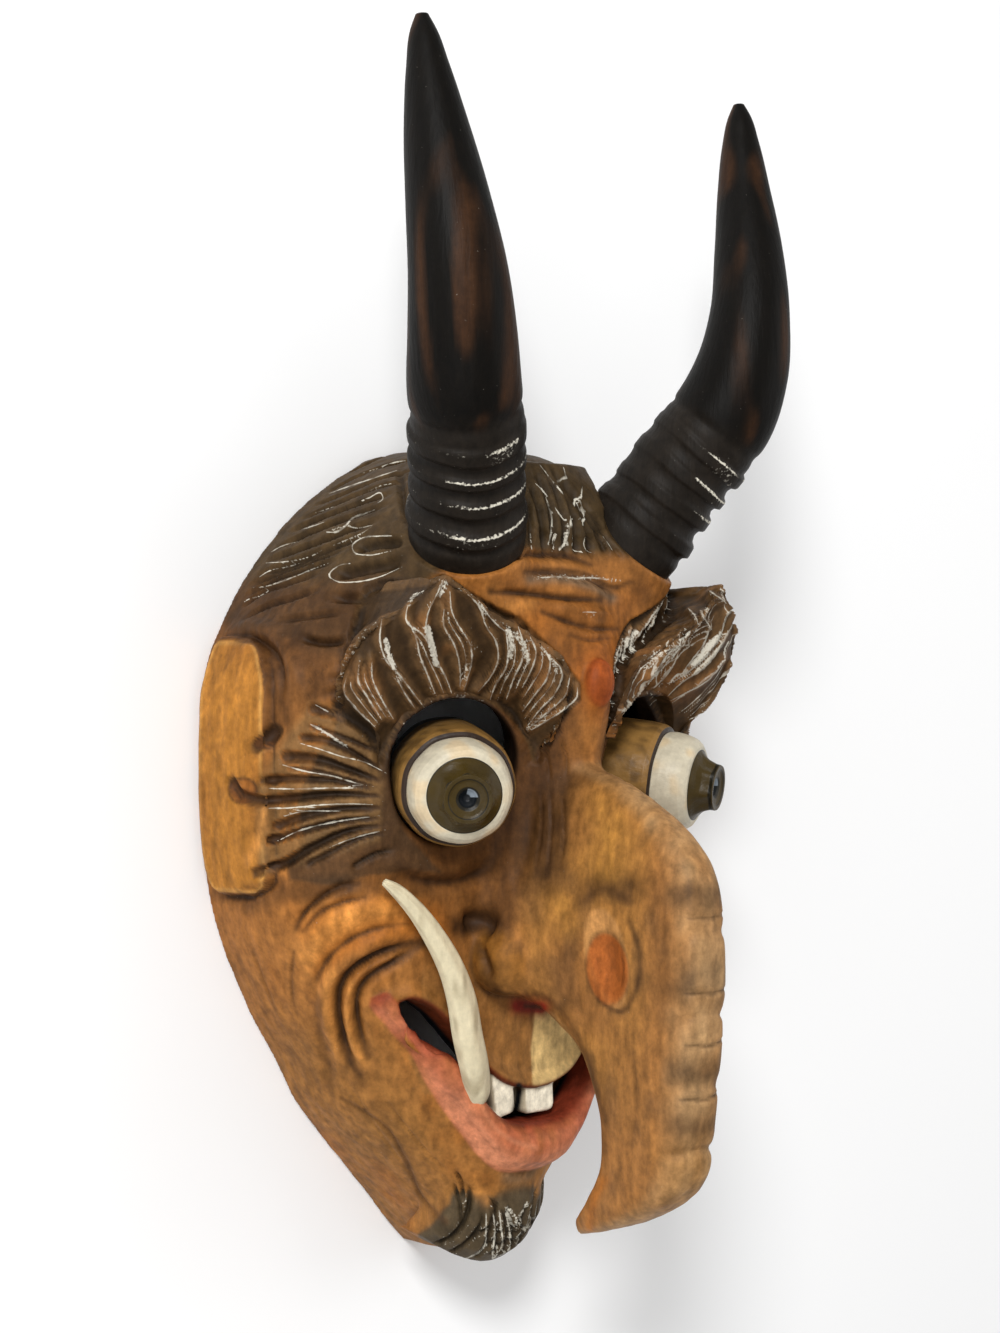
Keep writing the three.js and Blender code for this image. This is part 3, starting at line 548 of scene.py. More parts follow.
def mask_field():
    """The whole block: added forms joined with soft creases, then the openings cut."""
    levels = np.r_[137, 136, np.arange(134.5, -186, -2.0), -187, -188]
    body = field_of(head_rings(levels, 90, 0, 0, 0.0))
    for side in (-1, 1):
        body = join_soft(body, field_of(mirror(sweep_rings(HORN_BOSS, 30, 48)[0], side)), 9)
        body = join_soft(body, lump("wing", WING, side), 2.5)
    body = join_soft(body, keep("trunk", field_of(trunk_rings())), 4)
    body = join_soft(body, lump("spot", SPOT), 2)
    added = (("beard", beard_rings, 2.5), ("forelock", forelock_rings, 2), ("muzzle", muzzle_rings, 3),
             ("lip", lip_rings, 1.2))
    for name, rings, crease in added:
        body = join_soft(body, keep(name, field_of(rings())), crease)
    for side in (-1, 1):
        body = join_soft(body, keep("brow", field_of(mirror(brow_rings(), side))), 1.6)
    levels = np.linspace(HOLLOW_TOP, HOLLOW_FOOT, 120)
    hollow = field_of(head_rings(levels, 60, WALL_SIDE, WALL_FRONT, -8.0))
    body = cut_soft(body, keep("hollow", hollow), 3)
    body = cut_soft(body, keep("gape", mouth_field(1, 96, 0)), 2)
    body = cut_soft(body, mouth_field(1.04, 54, 4), 2)
    for side in (-1, 1):
        socket = join_soft(tube_field(side, SOCKET_RADIUS, 0, -48, 40),
                           tube_field(side, SOCKET_GAP_RADIUS, SOCKET_GAP_RISE, -48, 30), 2)
        body = cut_soft(body, keep("socket", socket), 1.5)
        body = cut_soft(body, lump("almond", TRUNK_DENT, side), 0.8)
        body = cut_soft(body, lump("nostril", NOSTRIL, side), 1)
    for x, y, width, height, turn in TEETH:
        tooth = keep("tooth", field_of(box_rings(x, y, TOOTH_LEVEL, width, height, TOOTH_DEPTH, turn)))
        body = join_soft(body, tooth, 0.4)
    return np.maximum(body, -GRID_Z)


def mesh_of(field):
    grid = openvdb.FloatGrid(BAND)
    grid.transform = openvdb.createLinearTransform(voxelSize=STEP)
    grid.copyFromArray(field, ijk=LOW_CELL, tolerance=0.0)
    points, quads = grid.convertToQuads(isovalue=0.0)
    points = points.astype(float)
    quads = quads.astype(np.int64)
    if volume(points, quads, np.zeros((0, 3), int)) < 0:
        quads = quads[:, ::-1]
    return points, quads


def vertex_normals(points, quads):
    a, b, c, d = (points[quads[:, n]] for n in range(4))
    flat = np.cross(c - a, d - b)
    total = np.zeros_like(points)
    for n in range(4):
        for axis in range(3):
            total[:, axis] += np.bincount(quads[:, n], flat[:, axis], len(points))
    return unit(total)


def edge_pairs(quads):
    return np.r_[quads[:, [0, 1]], quads[:, [1, 2]], quads[:, [2, 3]], quads[:, [3, 0]]]


def neighbour_mean(values, pairs):
    values = values.reshape(len(values), -1)
    total = np.zeros_like(values, dtype=float)
    count = np.zeros(len(values))
    for one, other in (pairs.T, pairs.T[::-1]):
        count += np.bincount(one, minlength=len(values))
        for axis in range(values.shape[1]):
            total[:, axis] += np.bincount(one, values[other, axis], len(values))
    return total / np.maximum(count, 1)[:, None]


def relax(points, pairs, rounds):
    """Smoothing that keeps the volume: each round shrinks, then grows back."""
    for _ in range(rounds):
        for share in (0.5, -0.53):
            points = points + share * (neighbour_mean(points, pairs) - points)
    return points


def value_noise(points, size, seed):
    """Seeded value noise in 0..1 with features of about the given size, per axis."""
    place = points / np.asarray(size, float)
    base = np.floor(place).astype(np.int64)
    f = place - base
    total = np.zeros(len(points))
    for corner, weight in corner_weights(f * f * (3 - 2 * f)):
        x, y, z = (base + corner).T
        key = x * 73856093 ^ y * 19349663 ^ z * 83492791
        key = (key + seed * 2654435761) & 0xFFFFFFFF
        for shift, factor in ((15, 2246822519), (13, 3266489917)):
            key = (key ^ (key >> shift)) * factor & 0xFFFFFFFF
        total += weight * ((key ^ (key >> 16)) / 4294967295.0)
    return total


# Photograph geometry
CAMERA_RIGHT = np.array([math.cos(CAMERA_YAW), 0, math.sin(CAMERA_YAW)])
CAMERA_BACK = np.array([-math.sin(CAMERA_YAW), 0, math.cos(CAMERA_YAW)])


def to_photo(points):
    d = points - CAMERA_PLACE
    away = -(d @ CAMERA_BACK)
    px = PHOTO_WIDTH / 2 + FOCAL_PIXELS * (d @ CAMERA_RIGHT) / away
    py = PHOTO_HEIGHT / 2 - FOCAL_PIXELS * d[:, 1] / away
    return np.stack([px, py], 1)


def ray_of(px, py):
    ray = -CAMERA_BACK * FOCAL_PIXELS + CAMERA_RIGHT * (px - PHOTO_WIDTH / 2)
    ray = ray + np.array([0, PHOTO_HEIGHT / 2 - py, 0])
    return unit(ray)


def line_gap(pixels, line, reach):
    """Points within reach of a photo line: their numbers, signed distance in pixels and share along it."""
    line = line_through([list(p) for p in line], 4 * len(line) + 4)
    low = line.min(0) - reach
    high = line.max(0) + reach
    near = np.nonzero(((pixels > low) & (pixels < high)).all(1))[0]
    p = pixels[near]
    step = np.diff(line, axis=0)
    size = np.maximum((step ** 2).sum(1), 1e-9)
    run = np.r_[0, np.cumsum(np.sqrt(size))]
    best = np.full(len(p), 1e9)
    turn = np.ones(len(p))
    share = np.zeros(len(p))
    for n in range(len(step)):
        rel = p - line[n]
        t = np.clip(rel @ step[n] / size[n], 0, 1)
        off = rel - t[:, None] * step[n]
        away = np.hypot(off[:, 0], off[:, 1])
        closer = away < best
        best[closer] = away[closer]
        turn[closer] = np.where(step[n][0] * rel[closer, 1] - step[n][1] * rel[closer, 0] > 0, 1, -1)
        share[closer] = (run[n] + t[closer] * (run[n + 1] - run[n])) / run[-1]
    keep_these = best < reach
    return near[keep_these], (best * turn)[keep_these], share[keep_these]


class Carver:
    """Strokes laid on a surface, each a line with a width, a depth and fades at its ends."""

    def __init__(self, points, quads):
        self.points = points
        self.normals = vertex_normals(points, quads)
        self.tree = BVHTree.FromPolygons(points.tolist(), quads.tolist())
        self.cut = np.zeros(len(points))
        self.soft = np.zeros(len(points))

    def on_photo(self, pixels):
        """Points on the surface behind a line of pixels, or None where the line misses it."""
        found = []
        for px, py in line_through([list(p) for p in pixels], LINE_RAYS):
            hit = self.tree.ray_cast(Vector(CAMERA_PLACE), Vector(ray_of(px, py)))[0]
            if hit is not None:
                found.append(list(hit))
        if len(found) < 2:
            return None
        found = np.array(found)
        # A jump between neighbours means that the line ran over an edge; the longest run is kept
        gaps = np.linalg.norm(np.diff(found, axis=0), axis=1)
        breaks = [0] + [n + 1 for n in np.nonzero(gaps > EDGE_JUMP)[0]] + [len(found)]
        best = max((found[a:b] for a, b in zip(breaks[:-1], breaks[1:])), key=len)
        return best if len(best) > 1 else None

    def settle(self, points):
        """Nearest points on the surface."""
        return np.array([list(self.tree.find_nearest(Vector(p))[0]) for p in points])

    def follow(self, table, fade, kind="cut", both=True):
        """One stroke for each row of a table of photograph lines."""
        for pixels, half, depth in table:
            self.stroke(self.on_photo(pixels), half, depth, fade, kind, both)

    def stroke(self, line, half, depth, fade, kind="cut", both=True):
        """half is a width or a pair from start to end; kind is cut, vee or soft."""
        if line is not None:
            for side in ((-1, 1) if both else (1,)):
                self.lay(mirror(line, side), half, depth, fade, kind)

    def lay(self, line, half, depth, fade, kind):
        first, last = half if isinstance(half, tuple) else (half, half)
        widest = max(first, last) * (SOFT_REACH if kind == "soft" else 1)
        low = line.min(0) - widest
        high = line.max(0) + widest
        near = np.nonzero(((self.points > low) & (self.points < high)).all(1))[0]
        if len(near) == 0:
            return
        p = self.points[near]
        step = np.diff(line, axis=0)
        size = np.maximum((step ** 2).sum(1), 1e-9)
        run = np.r_[0, np.cumsum(np.sqrt(size))]
        best = np.full(len(p), 1e9)
        share = np.zeros(len(p))
        for n in range(len(step)):
            t = np.clip(((p - line[n]) @ step[n]) / size[n], 0, 1)
            away = np.linalg.norm(p - line[n] - t[:, None] * step[n], axis=1)
            closer = away < best
            best[closer] = away[closer]
            share[closer] = (run[n] + t[closer] * (run[n + 1] - run[n])) / run[-1]
        strength = depth * np.ones(len(p))
        for length, end in zip(fade, (share, 1 - share)):
            if length > 0:
                strength *= smooth_step(-0.08, length, end)
        r = best / (first + (last - first) * share)
        if kind == "soft":
            self.soft[near] += strength * np.exp(-(r * 1.2) ** 2)
        else:
            profile = 1 - r if kind == "vee" else 1 - r * r
            self.cut[near] = np.maximum(self.cut[near], strength * np.clip(profile, 0, 1))

    def moved(self):
        points = self.points + self.normals * (self.soft - self.cut)[:, None]
        points[:, 2] = np.maximum(points[:, 2], 0)
        return points


# Photograph lines that are both cut and painted with shade
SMILE_OUTER = [(424, 940), (388, 951), (359, 965), (341, 983), (337, 1006), (340, 1033), (347, 1056),
               (359, 1074)]
SMILE_INNER = [(424, 943), (391, 965), (371, 977), (357, 995), (356, 1012), (360, 1033), (369, 1056)]
CHEEK_CREASE = [(318, 998), (319, 1027), (326, 1056), (329, 1086)]
BAG_UPPER = [(296, 929), (303, 915), (318, 901), (341, 887), (359, 883)]
BAG_LOWER = [(304, 931), (318, 914), (341, 903), (365, 897)]
FROWN_TOP = [(475, 555), (495, 557), (530, 555), (570, 557), (590, 565)]
FROWN_MIDDLE = [(490, 592), (530, 594), (570, 598), (600, 600)]
FROWN_LOW = [(542, 612), (570, 622), (592, 628), (617, 629)]
FROWN_FOOT = [(570, 635), (590, 640), (610, 638)]
CHEEK_SCORE = [(294, 951), (291, 983), (294, 1006)]
JAW_SCORE = [(253, 951), (265, 983), (276, 1009)]
RIM_SCORE = [(238, 1018), (265, 1068), (288, 1103), (318, 1133)]
CHIN_SCORE = [(341, 1098), (365, 1112), (388, 1130), (406, 1162), (418, 1189)]
BEARD_SCORE = [(397, 1142), (407, 1162), (420, 1195), (445, 1222)]
NOSE_SCORE = [(551, 792), (551, 830), (547, 875)]

# Broad relief, as photograph lines: pixels, half width and height in millimetres
BROAD_LINES = [
    # Smile folds beside the mouth: two valleys with a ridge on each side
    (SMILE_OUTER, 2.6, -3.6),
    (SMILE_INNER, 2.2, -3.0),
    ([(412, 931), (380, 940), (352, 956), (330, 980), (324, 1010), (328, 1046)], 4.5, 2.4),
    ([(405, 952), (378, 962), (352, 980), (346, 1004), (350, 1034), (360, 1062)], 2.2, 1.6),
    ([(406, 924), (376, 929), (347, 942), (326, 962), (318, 977), (318, 998)], 2.0, -1.3),
    (CHEEK_CREASE, 3.4, -1.6),
    ([(405, 905), (365, 908), (330, 922), (304, 952)], 7, 2.4),
    # Bag under the eye and its fold
    (BAG_UPPER, 1.7, -2.4),
    (BAG_LOWER, 1.5, -1.8),
    ([(397, 871), (420, 880), (446, 883), (470, 878), (491, 864)], 3.2, -2.6),
    ([(380, 856), (412, 868), (446, 870), (480, 856)], 5.0, 1.8),
    # Hollow above the nose wing and the fold running down from the inner eye corner
    ([(464, 926), (478, 922), (495, 930)], 5.5, -5.0),
    ([(478, 945), (484, 962), (489, 980)], 3.0, -2.6),
    ([(530, 790), (528, 830), (522, 862), (510, 890)], 5, -2.0),
    # Fold hooked over the ear's top
    ([(230, 630), (252, 626), (276, 638), (290, 658), (294, 684), (290, 706)], 4.2, 2.6),
    ([(238, 641), (262, 642), (277, 656), (282, 680), (281, 702)], 2.4, -2.4),
    # Lip pressed in under the mouth's near corner
    ([(403, 1010), (410, 1026), (424, 1040), (442, 1050)], 3.0, -5.5),
    # Cheek below the ear and the jaw
    ([(224, 897), (245, 897), (262, 888), (285, 878)], 3.2, -2.4),
    ([(440, 1088), (470, 1128), (500, 1166)], 4, -1.4),
]

# Forehead folds, across the midline
FOREHEAD_LINES = [
    (FROWN_TOP, 2.0, -2.0),
    ([(525, 574), (555, 572), (585, 576), (617, 589), (630, 582)], 1.8, -1.8),
    (FROWN_MIDDLE, 1.8, -2.0),
    (FROWN_LOW, 1.8, -1.7),
    (FROWN_FOOT, 1.5, -1.2),
    ([(530, 583), (565, 584), (590, 590), (615, 601)], 2.6, 1.7),
    ([(550, 606), (580, 610), (610, 615)], 2.6, 1.4),
]

# Temple flutes: pixels from the eye outwards, half widths at both ends and depth
TEMPLE_FLUTES = [
    ([(384, 745), (364, 731), (340, 717), (313, 709)], (1.0, 2.7), 2.375),
    ([(386, 757), (352, 741), (330, 733), (312, 727)], (0.9, 1.6), 1.625),
    ([(384, 772), (356, 755), (330, 742), (303, 738)], (1.0, 2.3), 2.375),
    ([(380, 781), (348, 770), (317, 760), (286, 757)], (1.3, 3.0), 3),
    ([(376, 787), (345, 779), (313, 771), (290, 768)], (0.8, 1.5), 1.5),
    ([(372, 789), (330, 781), (293, 779), (262, 781)], (0.9, 2.4), 2.375),
    ([(380, 796), (330, 795), (288, 799), (256, 801), (240, 797), (231, 783)], (1.2, 3.4), 3.125),
    ([(382, 808), (338, 810), (304, 817), (278, 826)], (1.2, 2.5), 2.625),
    ([(380, 818), (340, 822), (304, 831), (270, 841)], (1.1, 2.4), 2.5),
    ([(384, 825), (348, 832), (312, 848), (280, 866), (255, 874)], (1.3, 2.9), 3),
    ([(388, 832), (360, 839), (333, 852), (309, 864)], (0.9, 1.8), 1.875),
    ([(396, 849), (372, 856), (355, 866)], (1.4, 1.4), 1.75),
    ([(247, 751), (262, 742), (277, 731)], (3.6, 3.4), 2.25),
]

# Hair flutes over the crown: pixels from the horn outwards, half width and depth
HAIR_FLUTES = [
    ([(412, 449), (385, 456), (358, 468), (345, 474)], 1.7, 2.1),
    ([(414, 459), (384, 466), (352, 479), (332, 490)], 1.9, 2.38),
    ([(412, 470), (384, 477), (350, 491), (318, 504)], 2, 2.52),
    ([(405, 480), (375, 488), (342, 501), (306, 517)], 2, 2.52),
    ([(388, 494), (360, 503), (326, 516), (293, 530)], 2.2, 2.66),
    ([(384, 505), (350, 517), (318, 529), (283, 545)], 2.2, 2.8),
    ([(376, 520), (346, 531), (310, 545), (271, 559)], 2.2, 2.8),
    ([(366, 535), (334, 546), (296, 561), (262, 573)], 2.1, 2.66),
    ([(344, 548), (314, 559), (282, 570), (252, 584)], 2, 2.52),
    ([(334, 561), (304, 569), (272, 580), (248, 594)], 1.9, 2.38),
    ([(318, 573), (288, 583), (262, 592), (243, 606)], 1.8, 2.1),
    ([(404, 541), (378, 543), (357, 549)], 3.2, 3.64),
    ([(402, 561), (368, 568), (336, 575)], 3.4, 3.64),
    ([(396, 593), (362, 597), (331, 597)], 3, 3.64),
    ([(318, 589), (292, 598), (266, 606), (246, 618)], 1.8, 1.96),
    ([(344, 612), (312, 616), (282, 620)], 1.8, 1.68),
    ([(346, 640), (322, 642), (302, 638)], 2.2, 3.08),
    ([(400, 470), (403, 500), (408, 525)], 1.8, 1.96),
]

# Forelock flutes between the horns, top to bottom
TUFT_FLUTES = [
    ([(527, 497), (530, 515), (532, 534), (532, 550)], 1.9, 2.1),
    ([(531, 484), (538, 503), (543, 525), (545, 552)], 1.9, 2.2),
    ([(535, 470), (546, 490), (553, 520), (555, 553)], 2.0, 2.3),
    ([(544, 466), (556, 488), (565, 520), (566, 554)], 2.0, 2.3),
    ([(553, 468), (567, 492), (576, 522), (577, 553)], 2.0, 2.3),
    ([(560, 474), (576, 500), (588, 528), (590, 552)], 2.0, 2.2),
    ([(570, 486), (586, 512), (600, 538), (606, 553)], 1.9, 2.0),
    ([(580, 496), (596, 520), (612, 544), (620, 556)], 1.7, 1.7),
]

# Beard flutes, top to bottom
BEARD_FLUTES = [
    ([(455, 1170), (462, 1185), (463, 1198)], 0.93, 1.98),
    ([(466, 1182), (470, 1193), (469, 1207), (465, 1220), (457, 1233), (440, 1243), (407, 1250)], 1.364,
     2.86),
    ([(453, 1182), (458, 1197), (461, 1212), (461, 1223)], 0.868, 1.76),
    ([(482, 1210), (483, 1220), (478, 1230), (470, 1240), (447, 1255)], 1.116, 2.42),
    ([(491, 1205), (493, 1215), (490, 1233), (485, 1248), (473, 1260)], 1.116, 2.42),
    ([(497, 1213), (498, 1230), (497, 1247)], 0.93, 1.98),
    ([(501, 1207), (507, 1223), (507, 1243), (503, 1257)], 1.054, 2.42),
    ([(507, 1213), (514, 1230), (513, 1247), (512, 1257)], 1.054, 2.42),
    ([(527, 1198), (525, 1215), (523, 1232), (518, 1247)], 1.116, 2.42),
    ([(537, 1188), (533, 1207), (532, 1227), (527, 1243)], 1.116, 2.42),
    ([(547, 1188), (545, 1203), (540, 1215), (535, 1227)], 1.116, 2.2),
    ([(563, 1163), (562, 1178), (557, 1188)], 1.24, 2.42),
]

# Thin scored lines: pixels, half width and depth
SCORES = [
    (CHEEK_SCORE, 1.0, 0.6),
    (JAW_SCORE, 1.1, 0.5),
    (RIM_SCORE, 1.1, 0.5),
    (CHIN_SCORE, 1.2, 0.6),
    ([(342, 1075), (372, 1120), (404, 1165), (432, 1200)], 1.2, 0.5),
    (BEARD_SCORE, 1.3, 0.7),
    ([(374, 1085), (402, 1122), (430, 1155), (452, 1176)], 1.2, 0.6),
    ([(542, 792), (541, 828), (536, 870)], 1.0, 0.8),
    (NOSE_SCORE, 1.0, 0.8),
    ([(562, 792), (564, 832), (560, 868)], 1.0, 0.7),
    ([(541, 742), (548, 764), (550, 782)], 1.1, 0.8),
    ([(560, 738), (566, 756), (566, 778)], 1.1, 0.8),
    ([(540, 712), (556, 720), (572, 716)], 1.1, 0.8),
    ([(532, 728), (548, 736), (566, 730)], 1.0, 0.7),
    ([(304, 690), (318, 672), (336, 662)], 1.4, 0.8),
    ([(300, 720), (306, 700), (318, 688)], 1.2, 0.7),
    ([(532, 1012), (534, 1040), (533, 1080)], 1.0, 0.7),
    ([(633, 1054), (636, 1100), (630, 1150)], 1.2, 0.6),
    ([(684, 917), (700, 918), (718, 919)], 1.3, 0.9),
    ([(682, 993), (700, 994), (718, 994)], 1.3, 0.9),
    ([(680, 1044), (698, 1046), (718, 1047)], 1.3, 0.9),
    ([(676, 1099), (695, 1100), (712, 1100)], 1.3, 0.9),
]

# Brow: ridges between the gouges, from the crest down to the rim over the eye
BROW_RIDGES = [
    [(346, 678), (344, 692), (354, 706), (376, 728)],
    [(359, 664), (358, 680), (368, 698), (382, 720)],
    [(372, 660), (372, 676), (382, 700), (394, 720)],
    [(382, 618), (380, 640), (386, 660), (400, 676), (414, 694), (426, 710)],
    [(396, 676), (404, 692), (416, 710)],
    [(408, 604), (406, 620), (424, 636), (436, 660), (446, 678), (452, 694)],
    [(408, 620), (416, 638), (420, 656), (428, 676), (436, 696)],
    [(444, 578), (438, 592), (430, 608), (426, 626), (426, 636)],
    [(450, 592), (452, 612), (460, 628), (470, 644), (472, 660), (468, 678), (464, 690)],
    [(444, 608), (444, 626), (454, 644), (460, 668), (460, 688)],
    [(466, 592), (480, 608), (486, 626), (496, 642), (498, 660), (490, 678), (478, 692)],
    [(478, 600), (494, 622), (506, 632)],
    [(506, 632), (508, 648), (506, 668), (496, 684), (490, 700)],
    [(518, 626), (522, 640), (522, 660), (514, 678), (506, 700)],
    [(530, 636), (536, 652), (532, 668), (522, 688)],
    [(540, 644), (550, 660), (548, 676), (534, 696), (522, 712)],
    [(550, 656), (562, 672), (556, 692), (538, 712), (526, 728)],
    [(570, 676), (566, 694), (548, 712), (526, 730)],
    [(577, 684), (577, 696), (566, 708), (548, 720), (528, 732)],
]
# The same on the far brow, as seen across the nose
FAR_BROW_RIDGES = [
    [(741, 592), (734, 608), (727, 616), (720, 636), (708, 654), (688, 672), (670, 684)],
    [(738, 612), (728, 634), (720, 648), (704, 668), (680, 684), (668, 696)],
    [(710, 628), (704, 644), (692, 660), (680, 678)],
    [(688, 608), (696, 618), (698, 624)],
    [(700, 610), (708, 624), (712, 630)],
    [(708, 590), (720, 598), (726, 603)],
    [(718, 572), (730, 584), (738, 592)],
    [(670, 650), (680, 646), (690, 645)],
    [(680, 648), (674, 664), (664, 678), (654, 688)],
    [(668, 654), (656, 672), (650, 682)],
    [(726, 660), (708, 680), (688, 692), (672, 700)],
]
# Gouges: depth in millimetres, pixels from a ridge to half of it, drop of the ridges between, and reach
GOUGE_DEPTH = 4.4
GOUGE_REACH = 5.0
MINOR_DROP = 1.6
RIDGE_REACH = 14

# Thin white paint lines on the hair, temple, forelock and beard: pixels and half width in pixels
WHITE_LINES = [
    ([(314, 704), (336, 716), (360, 730), (376, 748)], 1.1),
    ([(310, 724), (328, 734), (348, 748)], 1.7),
    ([(296, 742), (316, 748), (340, 756), (364, 762), (388, 774)], 1.0),
    ([(280, 764), (304, 771), (332, 776), (360, 784), (376, 787)], 1.2),
    ([(260, 788), (292, 789), (332, 788), (372, 788)], 1.2),
    ([(260, 808), (288, 808), (320, 805), (352, 804), (382, 805)], 1.1),
    ([(278, 818), (300, 812), (332, 811), (352, 812)], 1.0),
    ([(276, 842), (296, 832), (324, 824), (352, 819), (380, 816)], 1.2),
    ([(328, 848), (348, 840), (368, 834), (386, 830)], 1.0),
    ([(362, 473), (376, 469), (389, 464), (416, 459)], 0.9),
    ([(328, 494), (344, 488), (362, 482), (380, 476), (398, 470)], 0.9),
    ([(310, 514), (327, 509), (344, 502)], 0.8),
    ([(367, 492), (380, 486), (396, 483)], 0.8),
    ([(356, 503), (369, 498), (381, 493), (383, 498), (376, 504)], 0.9),
    ([(326, 532), (336, 532), (344, 527), (353, 518), (364, 514), (376, 509)], 1.5),
    ([(347, 526), (356, 528), (373, 525)], 1.0),
    ([(373, 526), (362, 533), (344, 541), (327, 548), (309, 557), (291, 561), (265, 563)], 0.9),
    ([(303, 529), (313, 526), (324, 522)], 0.8),
    ([(271, 552), (282, 546), (302, 541)], 0.8),
    ([(258, 578), (269, 571), (287, 567), (302, 563)], 0.8),
    ([(252, 588), (267, 586), (280, 582), (296, 576), (313, 569), (329, 563)], 0.9),
    ([(243, 603), (247, 600), (260, 596), (270, 590)], 0.8),
    ([(404, 536), (380, 536), (360, 539), (352, 546), (354, 552), (367, 555), (391, 551)], 1.0),
    ([(353, 563), (338, 566), (329, 576), (336, 581), (353, 582), (376, 578), (402, 567)], 1.0),
    ([(534, 482), (542, 490), (550, 500), (560, 515), (568, 525)], 1.0),
    ([(540, 465), (550, 478), (560, 490), (570, 502), (580, 518), (586, 535)], 1.1),
    ([(555, 465), (570, 482), (580, 500), (585, 518), (598, 538), (609, 552)], 1.2),
    ([(544, 492), (552, 522), (550, 538), (545, 552)], 1.2),
    ([(530, 532), (532, 550)], 1.0),
    ([(572, 515), (569, 530), (565, 542), (558, 552)], 2.0),
    ([(570, 515), (574, 532), (574, 550)], 1.2),
    ([(578, 525), (588, 538), (585, 552)], 1.2),
    ([(590, 535), (600, 550)], 1.0),
    ([(555, 525), (555, 540), (552, 552)], 1.0),
    ([(486, 1213), (486, 1230), (484, 1247), (470, 1257), (445, 1263)], 1.4),
    ([(493, 1213), (495, 1230), (493, 1250), (492, 1261)], 1.4),
    ([(499, 1210), (501, 1227), (502, 1245), (493, 1260)], 1.4),
    ([(505, 1212), (509, 1227), (509, 1259)], 1.4),
    ([(505, 1207), (511, 1222), (516, 1236), (515, 1257)], 2.2),
    ([(525, 1207), (520, 1222), (517, 1236)], 2.2),
    ([(535, 1193), (530, 1210), (523, 1227)], 1.6),
    ([(541, 1187), (541, 1200), (539, 1215)], 2.2),
    ([(553, 1177), (552, 1187), (550, 1198)], 1.8),
    ([(534, 578), (565, 577), (590, 582), (612, 597)], 1.2),
    ([(580, 612), (598, 613), (612, 619)], 1.0),
]

# Patches of thicker white paint: pixels, half width in pixels and strength
WHITE_PATCHES = [
    ([(386, 640), (388, 652), (394, 668)], 3.6, 0.8), ([(427, 628), (431, 642), (436, 664)], 4.2, 0.9),
    ([(508, 630), (512, 644), (510, 656)], 4, 0.75), ([(516, 634), (524, 646), (527, 660)], 4, 0.7),
    ([(408, 606), (414, 596), (424, 592)], 2.6, 0.5), ([(446, 582), (440, 596)], 3.4, 0.6),
    ([(544, 650), (552, 660), (556, 672)], 3, 0.5), ([(470, 640), (480, 652)], 3, 0.35),
    ([(567, 525), (565, 545)], 3, 0.75), ([(318, 728), (346, 746)], 2.4, 0.55),
    ([(534, 578), (565, 577), (590, 583), (612, 598)], 3.4, 0.35), ([(508, 1208), (514, 1216)], 3, 0.6),
    ([(516, 1218), (516, 1240)], 2.6, 0.6), ([(541, 1188), (540, 1212)], 2.6, 0.6),
    ([(585, 614), (610, 618)], 3, 0.3),
    ([(330, 531), (345, 526)], 2, 0.45), ([(553, 1180), (552, 1196)], 2.2, 0.5),
]
